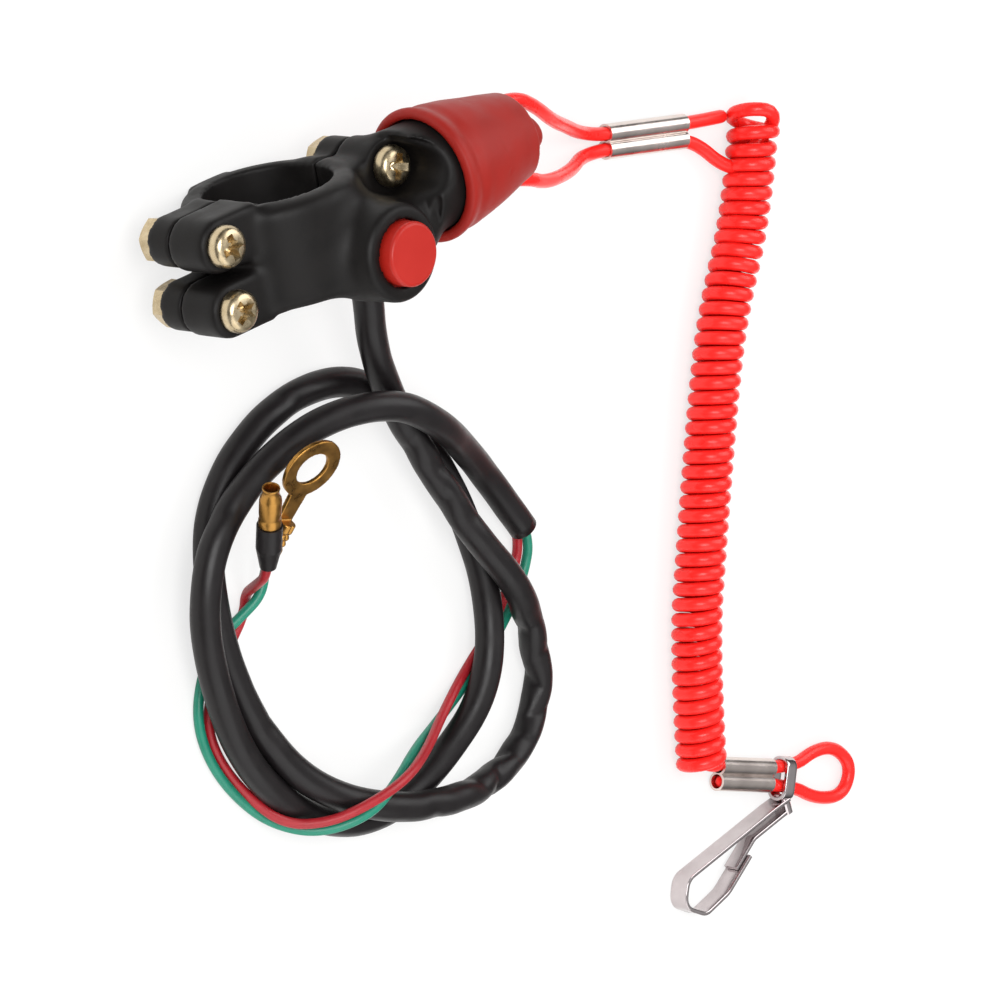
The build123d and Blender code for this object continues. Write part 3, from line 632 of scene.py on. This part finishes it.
def cutWith(mesh, cutter):
    target, tool = newObject("target", mesh), newObject("tool", cutter)
    cut = target.modifiers.new("cut", "BOOLEAN")
    cut.operation, cut.object, cut.solver = "DIFFERENCE", tool, "EXACT"
    graph = bpy.context.evaluated_depsgraph_get()
    result = bpy.data.meshes.new_from_object(target.evaluated_get(graph))
    for holder in (target, tool):
        bpy.data.objects.remove(holder)
    return result


def taperedBar(top, bottom, foot, length, width, footLength, footWidth, turnAngle):
    mesh = bmesh.new()
    rows = []
    for height, along, across in ((top, length, width), (bottom, footLength, footWidth)):
        turned = Matrix.Rotation(math.radians(turnAngle), 4, "Z")
        rows.append([mesh.verts.new(turned @ toMetres((sx * along / 2, sy * across / 2, height)))
                     for sx, sy in ((-1, -1), (1, -1), (1, 1), (-1, 1))])
    tip = mesh.verts.new(toMetres((0, 0, foot)))
    mesh.faces.new(rows[0])
    for k in range(4):
        n = (k + 1) % 4
        mesh.faces.new((rows[0][k], rows[1][k], rows[1][n], rows[0][n]))
        mesh.faces.new((rows[1][k], tip, rows[1][n]))
    bmesh.ops.recalc_face_normals(mesh, faces=mesh.faces)
    return toMesh("bar", mesh)


def screwMesh():
    seat, shaft, recess = fastener["seat"], fastener["shaft"], fastener["recess"]
    profile = [(radius, seat + height) for radius, height in fastener["head"]]
    height = fastener["threadStart"]
    profile.append((shaft, height))
    while height > fastener["threadEnd"] + fastener["lastTurn"]:
        profile.append((shaft - fastener["threadDepth"], height - fastener["pitch"] / 2))
        height -= fastener["pitch"]
        profile.append((shaft, height))
    inward, down = fastener["point"]
    profile += [(shaft - inward, height - down), (0.0, height - down)]
    mesh = toMesh("screw", lathe(profile))
    top = seat + fastener["head"][0][1]
    bottom = top - recess["depth"]
    cross = (recess["length"], recess["width"], recess["foot"], recess["footWidth"])
    star = (recess["star"], recess["star"], recess["footWidth"], recess["footWidth"])
    for turnAngle, sizes in ((0, cross), (90, cross), (45, star)):
        bar = taperedBar(top + recess["above"], bottom, bottom - recess["tip"], *sizes, turnAngle)
        mesh = cutWith(mesh, bar)
    return mesh


def nutMesh():
    nut = fastener["nut"]
    sides = nut["sides"]
    mesh = bmesh.new()
    rows = []
    flat, half = nut["flats"] / 2, nut["height"] / 2
    face = flat * nut["faceShare"]
    slope = math.tan(math.radians(nut["chamfer"]))
    middle = nut["seat"] - half
    for end in (1, -1):
        ring, edge, hole = [], [], []
        for k in range(sides):
            angle = 2 * math.pi * k / sides
            corner = flat / math.cos((angle + math.pi / 6) % (math.pi / 3) - math.pi / 6)
            drop = max(0.0, corner - face) * slope
            for row, radius, height in ((ring, face, half), (edge, corner, half - drop),
                                        (hole, nut["hole"], half - nut["holeChamfer"])):
                row.append(mesh.verts.new(toMetres((radius * math.cos(angle), radius * math.sin(angle),
                                                    middle + end * height))))
        rows.append((hole, ring, edge))
    order = [rows[0][0], rows[0][1], rows[0][2], rows[1][2], rows[1][1], rows[1][0], rows[0][0]]
    for before, after in zip(order, order[1:]):
        for k in range(sides):
            n = (k + 1) % sides
            mesh.faces.new((before[k], before[n], after[n], after[k]))
    bmesh.ops.recalc_face_normals(mesh, faces=mesh.faces)
    return toMesh("nut", mesh)


def repeatTree(finish):
    tree = bpy.data.node_groups.new("repeat", "GeometryNodeTree")
    for name, kind in (("Geometry", "NodeSocketGeometry"), ("Pattern", "NodeSocketObject")):
        tree.interface.new_socket(name=name, in_out="INPUT", socket_type=kind)
    tree.interface.new_socket(name="Geometry", in_out="OUTPUT", socket_type="NodeSocketGeometry")
    start = addNode(tree, "NodeGroupInput")
    pattern = addNode(tree, "GeometryNodeObjectInfo", links={"Object": start.outputs["Pattern"]})
    turnOf = addNode(tree, "GeometryNodeInputNamedAttribute", {"data_type": "FLOAT", "Name": "turn"})
    spin = addNode(tree, "ShaderNodeCombineXYZ", links={"Z": turnOf.outputs["Attribute"]})
    copies = addNode(tree, "GeometryNodeInstanceOnPoints",
                     links={"Points": start.outputs["Geometry"], "Instance": pattern.outputs["Geometry"],
                            "Rotation": spin.outputs["Vector"]})
    real = addNode(tree, "GeometryNodeRealizeInstances", links={"Geometry": copies.outputs["Instances"]})
    painted = addNode(tree, "GeometryNodeSetMaterial", {"Material": materials[finish]},
                      {"Geometry": real.outputs["Geometry"]})
    addNode(tree, "NodeGroupOutput", links={"Geometry": painted.outputs["Geometry"]})
    return tree


def repeatPiece(name, mesh, finish):
    pattern = newObject("pattern", mesh)
    points = bpy.data.meshes.new("points")
    points.from_pydata([toMetres((x, y, 0)) for x, y in fastener["places"]], [], [])
    turns = points.attributes.new("turn", "FLOAT", "POINT")
    for target, degreesOf in zip(turns.data, fastener["turns"]):
        target.value = math.radians(degreesOf)
    holder = newObject("repeat", points)
    repeat = holder.modifiers.new("repeat", "NODES")
    repeat.node_group = repeatTree(finish)
    for item in repeat.node_group.interface.items_tree:
        if item.in_out == "INPUT" and item.name == "Pattern":
            repeat[item.identifier] = pattern
    graph = bpy.context.evaluated_depsgraph_get()
    made = bpy.data.meshes.new_from_object(holder.evaluated_get(graph))
    for extra in (holder, pattern):
        bpy.data.objects.remove(extra)
    smoothByAngle(made, 32)
    return newObject(name, made)


for name, buildOne, solid in (("clampScrews", screwMesh, "clamp_screw_"), ("clampNuts", nutMesh, "clamp_nut_")):
    piece = repeatPiece(name, buildOne(), "yellowZinc")
    solids = [solid + place for place in ("upper", "lower", "post")]
    finishPiece(piece, "switch", "yellowZinc", solids)
    print("fasteners made:", name, len(piece.data.polygons))

# Terminals: a lathe-turned bullet in its boot, and the ring's crimped barrel

bullet = {
    "start": (-13.6, -54.6, -2.75),
    "heading": (-0.100, 0.920, 0.379),
    "shaft": ((0.0, 7.4), (1.55, 7.4), (1.6, 9.0), (1.95, 9.1), (1.98, 10.2), (1.82, 10.5), (1.88, 10.9),
              (1.95, 11.6), (1.95, 14.2), (1.86, 14.8), (1.5, 15.5), (1.42, 16.2), (1.5, 16.6), (1.56, 16.85), (1.5, 17.0), (1.34, 16.98),
              (1.24, 16.8), (1.22, 12.6), (0.0, 12.5)),
}
ringTip = {
    "start": (-7.2, -55.6, -8.7),
    "heading": (0.280, 0.800, 0.5307),
    "voxel": 0.16,
    "barrel": (0.25, 7.3),
    "skinFrom": (1.15, 1.4),
    "grooves": (2.0, 3.3, 4.6),
    "grooveWidth": 0.34,
    "grooveDepth": 0.30,
    "grooveLean": 0.35,
    "seamDepth": 0.35,
    "seamWidth": 0.22,
    "seamRise": 0.8,
    "seamFrom": (0.2, 1.0),
}


def directionFrame(heading):
    forward = Vector(heading).normalized()
    side = Vector((-heading[1], heading[0], 0)).normalized()
    return forward, side, forward.cross(side)


def crimpedRing():
    mesh = fineMesh("ring_terminal", ringTip["voxel"])
    spots, normals = readSpots(mesh)
    forward, side, up = [np.array(v) for v in directionFrame(ringTip["heading"])]
    local = spots - np.array(ringTip["start"])
    along, across, rise = local @ forward, local @ side, local @ up
    radius = np.maximum(np.hypot(across, rise), 1e-6)
    angle = np.arctan2(rise, across)
    start, end = ringTip["barrel"]
    skin = smoothShare(radius, *ringTip["skinFrom"]) * (along < end) * (along > start)
    dent = np.zeros(len(spots))
    for place in ringTip["grooves"]:
        gap = (along - place - ringTip["grooveLean"] * np.sin(angle)) / ringTip["grooveWidth"]
        dent += ringTip["grooveDepth"] * np.exp(-gap ** 2)
    seam = np.exp(-(across / ringTip["seamWidth"]) ** 2) * (np.abs(rise) > ringTip["seamRise"])
    dent += ringTip["seamDepth"] * seam * smoothShare(along, *ringTip["seamFrom"])
    change = skin * dent / radius
    spots -= (across * change)[:, None] * side + (rise * change)[:, None] * up
    writeSpots(mesh, evenOut(mesh, spots, np.full(len(spots), 0.5), 2))
    return newObject("ringTerminal", mesh)


def alongHeading(mesh, start, heading):
    forward, side, up = directionFrame(heading)
    turned = Matrix([side, up, forward]).transposed().to_4x4()
    mesh.transform(Matrix.Translation(toMetres(start)) @ turned)
    return mesh


def turnedBullet():
    mesh = toMesh("bulletTerminal", lathe(bullet["shaft"], 40))
    alongHeading(mesh, bullet["start"], bullet["heading"])
    smoothByAngle(mesh, 50)
    return newObject("bulletTerminal", mesh)


ringTerminal = finishPiece(crimpedRing(), "switch", "stampedBrass", ["ring_terminal"])
bulletTerminal = finishPiece(turnedBullet(), "switch", "stampedBrass", ["bullet_terminal"])
print("terminals made")

# Snap hook: one rolled strip with its eye bent round the ferrule's cords, and the gate strip

hook = {
    "neck": (110.37, -150.832, -14.4),
    "along": (-0.992, -0.126, 0.0),
    "eye": (112.385, -146.657, -14.4),
    "eyeHeading": (0.915, -0.403, 0.0),
    "eyeShift": 0.5,
    "eyeInner": (7.0, 2.9),
    "eyeDepth": 2.8,
    "eyeCorner": 1.75,
    "width": 4.0,
    "thickness": 0.8,
    "edge": 0.22,
    "bow": 0.16,
    "frame": ((-1.2, 0.2), (3.0, 0.0), (29.5, 0.0), (32.2, 4.5), (27.5, 8.8), (20.5, 8.2), (12.5, 4.8)),
    "frameBends": (4.0, 3.0, 3.0, 3.0, 6.0),
    "gate": ((0.0, 2.5), (10.0, 2.5), (16.5, 5.3)),
    "gateBends": (3.0,),
    "gateWidth": 3.2,
    "neckBlock": ((-1.5, -0.4), (0.35, 2.95)),
    "blockSteps": 6,
    "blockInset": 0.4,
    "blockEdge": 0.6,
    "bendShare": 0.48,
}
upward = Vector((0, 0, 1))


def bentLine(points, bends, steps=7):
    points = [Vector((*point, 0)) for point in points]
    line = [points[0]]
    for before, corner, after, radius in zip(points, points[1:], points[2:], bends):
        inward, outward = (before - corner).normalized(), (after - corner).normalized()
        half = inward.angle(outward) / 2
        shorter = min((before - corner).length, (after - corner).length)
        reach = min(radius / math.tan(half), shorter * hook["bendShare"])
        start, end = corner + inward * reach, corner + outward * reach
        for t in [k / steps for k in range(steps + 1)]:
            line.append(start.lerp(corner, t).lerp(corner.lerp(end, t), t))
    return line + [points[-1]]


def roundedRectangle(halfWide, halfHigh, radius, step):
    corners = []
    for sx, sy, start in ((1, 1, 0), (-1, 1, 90), (-1, -1, 180), (1, -1, 270)):
        for angle in range(0, 91, step):
            turned = math.radians(start + angle)
            corners.append((sx * (halfWide - radius) + radius * math.cos(turned),
                            sy * (halfHigh - radius) + radius * math.sin(turned)))
    return corners


def stripOutline(width, thickness, edge, bow):
    corners = roundedRectangle(thickness / 2, width / 2, edge, 30)
    across = [(0.5 - k / 4) * (width - 2 * edge) for k in range(1, 4)]
    left = [(-thickness / 2, b) for b in across]
    right = [(thickness / 2, b) for b in reversed(across)]
    return [(a - bow * (1 - (2 * b / width) ** 2), b) for a, b in corners[:8] + left + corners[8:] + right]


def sweepStrip(line, widthWay, width, thickness, edge, bow=0.0, closed=False):
    # line in metres, lying across widthWay
    mesh = bmesh.new()
    outline = stripOutline(width, thickness, edge, bow)
    rows = []
    count = len(line)
    for i, spot in enumerate(line):
        before = line[(i - 1) % count] if closed else line[max(i - 1, 0)]
        after = line[(i + 1) % count] if closed else line[min(i + 1, count - 1)]
        normal = (after - before).normalized().cross(widthWay)
        rows.append([mesh.verts.new(spot + normal * a / 1000 + widthWay * b / 1000) for a, b in outline])
    pairs = list(zip(rows, rows[1:])) + ([(rows[-1], rows[0])] if closed else [])
    for before, after in pairs:
        for k in range(len(outline)):
            n = (k + 1) % len(outline)
            mesh.faces.new((before[k], before[n], after[n], after[k]))
    if not closed:
        mesh.faces.new(list(reversed(rows[0])))
        mesh.faces.new(rows[-1])
    bmesh.ops.recalc_face_normals(mesh, faces=mesh.faces)
    return mesh


def hookSpot(point, height):
    along = Vector(hook["along"])
    across = upward.cross(along)
    return toMetres(Vector(hook["neck"]) + along * point[0] + across * point[1] + upward * height)


def joined(name, parts):
    whole = bmesh.new()
    for part in parts:
        whole.from_mesh(toMesh("part", part))
    mesh = toMesh(name, whole)
    smoothByAngle(mesh, 40)
    return newObject(name, mesh)


def hookFrame():
    line = [hookSpot(point, hook["width"] / 2) for point in bentLine(hook["frame"], hook["frameBends"])]
    strip = sweepStrip(line, upward, hook["width"], hook["thickness"], hook["edge"], hook["bow"])
    heading = Vector(hook["eyeHeading"]).normalized()
    outward = Vector((heading.y, -heading.x, 0))
    halfWide = hook["eyeInner"][0] / 2 + hook["thickness"] / 2
    halfHigh = hook["eyeInner"][1] / 2 + hook["thickness"] / 2
    middle = Vector(hook["eye"]) + outward * hook["eyeShift"] + upward * (halfHigh + hook["thickness"] / 2)
    corners = roundedRectangle(halfWide, halfHigh, hook["eyeCorner"], 15)
    loop = [toMetres(middle + outward * a + upward * b) for a, b in corners]
    eye = sweepStrip(loop, heading, hook["eyeDepth"], hook["thickness"], hook["edge"], closed=True)
    (lowA, lowB), (highA, highB) = hook["neckBlock"]
    steps = hook["blockSteps"]
    rises = [lowB + (highB - lowB) * k / steps for k in range(steps + 1)]
    blockLine = [hookSpot(((lowA + highA) / 2, rise), hook["width"] / 2) for rise in rises]
    block = sweepStrip(blockLine, upward, hook["width"] - hook["blockInset"], highA - lowA, hook["blockEdge"])
    return joined("hookFrame", [strip, eye, block])


def hookGate():
    line = [hookSpot(point, hook["width"] / 2) for point in bentLine(hook["gate"], hook["gateBends"])]
    return joined("hookGate", [sweepStrip(line, upward, hook["gateWidth"], hook["thickness"], hook["edge"])])


hookPiece = finishPiece(hookFrame(), "hook", "chromedStrip", ["hook_frame"])
gatePiece = finishPiece(hookGate(), "gate", "chromedStrip", ["hook_gate"])
print("hook bent")

# The lead: vinyl sleeve with two wires that come out of its open end

lead = {
    "sleeveDia": 5.5,
    "wireDia": 1.8,
    "mouthWall": 0.5,
    "mouthDepth": 5.0,
    # each crease: distance from the housing, angle from the side seen in the picture, depth share, slant
    "creases": (
        (47.0, 0.5, 0.30, 1.2), (54.0, -0.7, 0.34, -1.6), (60.0, 0.4, 0.30, 1.8), (66.0, -0.3, 0.24, -0.8),
        (97.0, 0.9, 0.30, 1.0), (103.5, -0.8, 0.22, 0.6), (109.0, 0.7, 0.34, -1.4), (115.5, -0.6, 0.32, 1.5),
        (121.0, 0.4, 0.24, -1.0), (127.0, 0.9, 0.36, 1.2), (133.5, -0.6, 0.30, -1.6), (139.0, 0.5, 0.26, 1.0),
        (152.0, -0.8, 0.20, 1.2), (196.0, 0.6, 0.16, 1.0), (262.0, 0.3, 0.20, 1.5), (468.0, -0.5, 0.16, 1.4),
    ),
    "creaseWidth": 1.9,
    "creaseReach": 12.0,
    "creaseRound": 1.3,
    "creaseFall": 1.3,
    "ridge": (0.18, 2.4),
    "swell": {"along": 0.16, "round": 0.7, "share": 0.035},
    # the three lists below weren't chosen by hand: a least-squares program fitted them to the picture
    "sleeve": [
        (18.2, -2.7, 0), (18.2, -16, 0), (19.8, -26.2, -3.3), (24.6, -38.1, -6.4), (31.1, -53.3, -6.7),
        (37.9, -68.9, -5.4), (46.1, -81.5, -5.2), (51.8, -91.8, -10), (53.6, -103.1, -11.65),
        (47.4, -112.4, -11.5), (35.1, -115.2, -9.4), (21.1, -112.9, -5.7), (5, -107.8, -6),
        (-9.6, -97.4, -8.8), (-19, -79.7, -9.9), (-21.3, -60.8, -10.3), (-17.5, -45.7, -11.65),
        (-7.5, -36, -11.5), (7.7, -31.4, -11.4), (23.4, -34.5, -11.65), (34.7, -47.8, -11.6),
        (41.9, -65.7, -11.65), (44.1, -83.4, -10.8), (38, -98.4, -9), (24.8, -108.1, -11.1),
        (7.9, -112.5, -11.65), (-8.5, -104.9, -11.65), (-20.9, -89.7, -9.8), (-26.1, -72.6, -7.9),
        (-26.6, -58.4, -6.6), (-21.7, -47.4, -6.1), (-10.6, -39.9, -6.2), (5, -34.7, -3.6),
        (19.6, -36.5, 0.3), (30.3, -44.5, -1), (40.6, -53.5, -7), (49.9, -64.1, -11.4),
        (55.9, -74.9, -11.6),
    ],
    "green": [
        (55.7, -72.7, -11.6), (58, -77.9, -12.6), (56.2, -83.5, -13.48), (51.5, -88.5, -13.48),
        (45, -93, -13.3), (36.9, -97.7, -13.48), (26.8, -100.9, -12), (16.5, -101.4, -7.9),
        (7.3, -103.2, -4), (-1.3, -105.7, -2.7), (-9.4, -106.6, -7.7), (-15.8, -102.7, -12.4),
        (-21.6, -95.3, -13.48), (-25.9, -87.1, -13.2), (-26.7, -79.2, -13.48), (-23.7, -72.2, -13.48),
        (-18.8, -67.5, -13.48), (-13.8, -64.8, -11.7), (-9.7, -62.1, -10), (-7.82, -57.36, -9.87),
        (-5.94, -52, -6.31),
    ],
    "red": [
        (54.1, -73.6, -11.6), (55.5, -78, -13), (53.5, -82.4, -13.48), (49.7, -86.6, -13.48),
        (44.2, -91.3, -13.48), (36.5, -95.8, -13.48), (27.2, -99.3, -10.6), (17.4, -101.5, -5.7),
        (7.9, -102.3, -1.6), (-0.8, -103.5, -2.2), (-8.8, -104.6, -5.8), (-15.7, -102.4, -9.9),
        (-20.2, -94.5, -13.3), (-23.9, -86.8, -13.48), (-24.7, -80.3, -13.3), (-21.4, -74.3, -13.48),
        (-15.7, -69, -13.4), (-11.3, -65.2, -13.48), (-10.8, -61.8, -12.9), (-12, -59.4, -8.6),
        (-13.42, -56.26, -3.43), (-14, -50.92, -1.23),
    ],
}

sleeveLine = routeLine(lead["sleeve"], 14)
sleeveSteps = distancesAlong(sleeveLine)
sleeveFrames = framesAlong(sleeveLine)
creases = []
for distance, offset, depth, slant in lead["creases"]:
    nearest = min(range(len(sleeveSteps)), key=lambda i: abs(sleeveSteps[i] * 1000 - distance))
    tangent, side, up = sleeveFrames[nearest]
    seen = Vector(camera["back"])
    creases.append((distance, math.atan2(seen.dot(up), seen.dot(side)) + offset, depth, slant))


def sleeveRadius(distance, angle):
    place, swell, (ridge, ridgeAt) = distance * 1000, lead["swell"], lead["ridge"]
    spot = Vector((place * swell["along"], math.cos(angle) * swell["round"], math.sin(angle) * swell["round"]))
    share = 1.0 - swell["share"] + swell["share"] * noise.noise(spot)
    for middle, facing, depth, slant in creases:
        if abs(place - middle) < lead["creaseReach"]:
            away = (angle - facing + math.pi) % (2 * math.pi) - math.pi
            gap = abs(place - middle - slant * away) / lead["creaseWidth"]
            fold = math.exp(-gap * lead["creaseFall"]) - ridge * math.exp(-(gap - ridgeAt) ** 2)
            share -= depth * max(0.0, math.cos(away)) ** lead["creaseRound"] * fold
    return lead["sleeveDia"] / 2000 * min(share, 1.0)


def evenRadius(diameter):
    return lambda distance, angle: diameter / 2000


def leadSleevePiece():
    piece = sweepTube("leadSleeve", sleeveLine, sleeveRadius, sides=28)
    mesh = bmesh.new()
    mesh.from_mesh(piece.data)
    mesh.faces.ensure_lookup_table()
    mouth = mesh.faces[-1]
    inward = -mouth.normal.normalized()
    centre = mouth.calc_center_median()
    radius = lead["sleeveDia"] / 2000
    wallShare = 1 - lead["mouthWall"] / (lead["sleeveDia"] / 2)
    for share, depth in ((wallShare, 0.0), (wallShare, lead["mouthDepth"] / 1000)):
        bmesh.ops.inset_individual(mesh, faces=[mouth], thickness=0.0, use_even_offset=False)
        for vert in mouth.verts:
            out = vert.co - centre
            flat = out - inward * out.dot(inward)
            vert.co = centre + flat.normalized() * radius * share + inward * depth
    mesh.to_mesh(piece.data)
    mesh.free()
    piece.data.shade_smooth()
    return piece


leadSleeve = finishPiece(leadSleevePiece(), "switch", "sleeveVinyl", ["lead_sleeve"])
for colour in ("green", "red"):
    line = routeLine(lead[colour], 12)
    wire = sweepTube("wire" + colour.capitalize(), line, evenRadius(lead["wireDia"]))
    finishPiece(wire, "switch", colour + "Pvc", ["wire_" + colour])
print("lead laid")

# Lanyard: a loop through the cap, the coil, and an end loop that carries the hook

lanyard = {
    "cordDia": 2.5,
    "packedDia": 2.6,
    "coilRadius": 3.5,
    "turns": 46,
    "stepsPerTurn": 22,
    "looseTurns": 2.5,
    "looseExtra": 0.7,
    "looseLean": 2.9,
    "leanWay": (-0.9, 0.0, 0.4),
    "joinTurns": 0.7,
    "loop": [
        (125.6, -20.2, -12.9), (119.5, -19.1, -12.7), (113, -17.7, -12.6), (97, -14.05, -12.6),
        (92.5, -13, -12.6), (86, -10.3, -11), (76, -5.6, -3.4), (65, -0.4, 4), (57.5, 4.9, 7.9),
        (51.5, 8.5, 9.4), (43.4, 8.8, 9.5), (39.71, 5.11, 9.5), (39.71, -0.11, 9.5), (43.4, -3.8, 9.5),
        (52.5, -6.6, 8.9), (58.7, -9.5, 5.5), (68.1, -12.1, 0.3), (78.7, -14.4, -6.4), (86, -15.1, -11.4),
        (92.3, -15.96, -12.6), (97, -17.02, -12.6), (114, -20.9, -12.6), (118.2, -23.4, -12.4),
        (122, -28, -11.6), (125.4, -30.2, -10.2), (127.2, -30, -8.6),
    ],
    "coil": [
        (131.2, -20.4, -9.5), (125.4, -37.5, -9.6), (113.6, -55, -9.6), (106.5, -72.2, -9.6),
        (98.9, -92.7, -9.6), (91.8, -112.4, -9.6), (88.3, -136.5, -9.6),
    ],
    "endLoop": [
        (89.2, -132, -11.3), (92.84, -136.46, -12.1), (114.8, -146.14, -12.1), (122.5, -145.4, -12.4),
        (128.6, -147.4, -12.7), (132.4, -152.8, -12.8), (128.6, -157.6, -12.8), (120.5, -154.8, -12.5),
        (113.63, -148.79, -12.1), (95.8, -140.93, -12.1),
    ],
}


def pointAt(line, steps, distance):
    i = 1
    while i < len(steps) - 1 and steps[i] < distance:
        i += 1
    share = (distance - steps[i - 1]) / max(steps[i] - steps[i - 1], 1e-9)
    return i, line[i - 1].lerp(line[i], share)


def helixLine(core, startJoin, endJoin):
    steps = distancesAlong(core)
    frames = framesAlong(core)
    count = lanyard["turns"] * lanyard["stepsPerTurn"]
    leanWay = Vector(lanyard["leanWay"])
    leanAngle = math.atan2(leanWay.dot(frames[0][2]), leanWay.dot(frames[0][1]))
    found = []
    for k in range(count + 1):
        turnNow = k / lanyard["stepsPerTurn"]
        i, centre = pointAt(core, steps, steps[-1] * k / count)
        tangent, side, up = frames[i]
        ease = smoothStep(1 - turnNow / lanyard["looseTurns"])
        radius = (lanyard["coilRadius"] + lanyard["looseExtra"] * ease) / 1000
        angle = 2 * math.pi * turnNow
        spot = centre + (side * math.cos(angle) + up * math.sin(angle)) * radius
        lean = 0.5 + 0.5 * math.cos(angle - leanAngle)
        spot -= tangent * (lanyard["looseLean"] / 1000 * lean * ease)
        spot.z = max(spot.z, (floorZ + lanyard["packedDia"] / 2) / 1000)
        left = lanyard["turns"] - turnNow
        if turnNow < lanyard["joinTurns"]:
            spot = startJoin.lerp(spot, smoothStep(turnNow / lanyard["joinTurns"]))
        if left < lanyard["joinTurns"]:
            spot = endJoin.lerp(spot, smoothStep(left / lanyard["joinTurns"]))
        if not found or (spot - found[-1]).length > 0.0001:
            found.append(spot)
    return found


loopLine = routeLine(lanyard["loop"], 14)
endLine = routeLine(lanyard["endLoop"], 14)
coilLine = helixLine(routeLine(lanyard["coil"], 24), loopLine[-1], endLine[0])
lanyardLoop = sweepTube("lanyardLoop", loopLine, evenRadius(lanyard["cordDia"]), roundStart=True)
finishPiece(lanyardLoop, "cap", "redPolyurethane", ["lanyard_loop"])
lanyardCoil = sweepTube("lanyardCoil", coilLine, evenRadius(lanyard["packedDia"]), sides=12)
finishPiece(lanyardCoil, "cap", "redPolyurethane", ["lanyard_coil"])
lanyardEnd = sweepTube("lanyardEndLoop", endLine, evenRadius(lanyard["cordDia"]), roundEnd=True)
finishPiece(lanyardEnd, "cap", "redPolyurethane", ["lanyard_end_loop"])
print("lanyard wound")

# CAD nodes that keep their own shape get their finishes

nodeFinishes = {
    "push_button": "glossAbs", "bullet_boot": "sleeveVinyl", "ferrule_upper": "nickelStrip",
    "ferrule_lower": "nickelStrip", "button_spring": "springWire", "plunger_spring": "springWire",
    "button_contact": "stampedBrass", "plunger_contact": "stampedBrass", "contact_base": "phenolicBoard",
    "tether_plunger": "naturalNylon",
}
for name, finish in nodeFinishes.items():
    node = nodes[name]
    node.data.materials.clear()
    node.data.materials.append(materials[finish])
print("nodes finished:", len(nodeFinishes))

# Floor, lamps and world

stage = {
    "size": 6.0,
    "lamps": [
        # place and aim in millimetres, size in metres, power in watts
        ("keyLamp", (-500, 250, 900), (40, -60, 0), 0.7, 8.0),
        ("fillLamp", (-300, -800, 600), (40, -60, 0), 1.2, 5.0),
        ("rimLamp", (700, 300, 700), (40, -60, 0), 0.9, 5.0),
    ],
    "worldStrength": 0.5,
    "mirrorLow": 0.08,
    "mirrorHigh": 0.6,
    "mirrorRange": (0.1, 0.95),
    "mirrorWhite": 0.25,
    "cameraWhite": 0.72,
    "paper": "#f4f3f1",
    "gap": 0.05,
}
floorMesh = bpy.data.meshes.new("floor")
half = stage["size"] / 2
corners = [(-half, -half), (half, -half), (half, half), (-half, half)]
floorMesh.from_pydata([(x, y, (floorZ - stage["gap"]) / 1000) for x, y in corners], [], [(0, 1, 2, 3)])
floor = newObject("floor", floorMesh)
floorFinish = bpy.data.materials.new("paleFloor")
tree = emptyTree(floorFinish)
paths = addNode(tree, "ShaderNodeLightPath")
mirrorShare = addNode(tree, "ShaderNodeMath", {"operation": "MULTIPLY", 1: stage["mirrorWhite"]},
                      {0: paths.outputs["Is Glossy Ray"]})
share = addNode(tree, "ShaderNodeMath", {"operation": "MULTIPLY_ADD", 1: stage["cameraWhite"]},
                {0: paths.outputs["Is Camera Ray"], 2: mirrorShare.outputs[0]})
pale = addNode(tree, "ShaderNodeBsdfDiffuse", {"Color": linearColour(stage["paper"])})
white = addNode(tree, "ShaderNodeEmission", {"Color": (1, 1, 1, 1), "Strength": 1.0})
mixed = addNode(tree, "ShaderNodeMixShader",
                links={0: share.outputs[0], 1: pale.outputs[0], 2: white.outputs[0]})
addNode(tree, "ShaderNodeOutputMaterial", links={"Surface": mixed.outputs[0]})
floorMesh.materials.append(floorFinish)

for name, place, aim, size, power in stage["lamps"]:
    lampData = bpy.data.lights.new(name, "AREA")
    lampData.shape = "DISK"
    lampData.size = size
    lampData.energy = power
    lamp = newObject(name, lampData)
    aiming = (toMetres(aim) - toMetres(place)).to_track_quat("-Z", "Y")
    lamp.matrix_world = Matrix.Translation(toMetres(place)) @ aiming.to_matrix().to_4x4()

world = bpy.data.worlds.new("studio")
scene.world = world
tree = emptyTree(world)
paths = addNode(tree, "ShaderNodeLightPath")
facing = addNode(tree, "ShaderNodeTexCoord")
way = addNode(tree, "ShaderNodeSeparateXYZ", links={"Vector": facing.outputs["Generated"]})
low, high = stage["mirrorRange"]
mirror = addNode(tree, "ShaderNodeMapRange",
                 {"interpolation_type": "SMOOTHSTEP", "From Min": low, "From Max": high,
                  "To Min": stage["mirrorLow"], "To Max": stage["mirrorHigh"]}, {"Value": way.outputs["Z"]})
unseen = addNode(tree, "ShaderNodeMix", {"data_type": "FLOAT", 2: stage["worldStrength"]},
                 {0: paths.outputs["Is Glossy Ray"], 3: mirror.outputs["Result"]})
strength = addNode(tree, "ShaderNodeMix", {"data_type": "FLOAT", 3: 1.0},
                   {0: paths.outputs["Is Camera Ray"], 2: unseen.outputs[0]})
sky = addNode(tree, "ShaderNodeBackground", {"Color": (1, 1, 1, 1)}, {"Strength": strength.outputs[0]})
addNode(tree, "ShaderNodeOutputWorld", links={"Surface": sky.outputs["Background"]})
print("studio set")
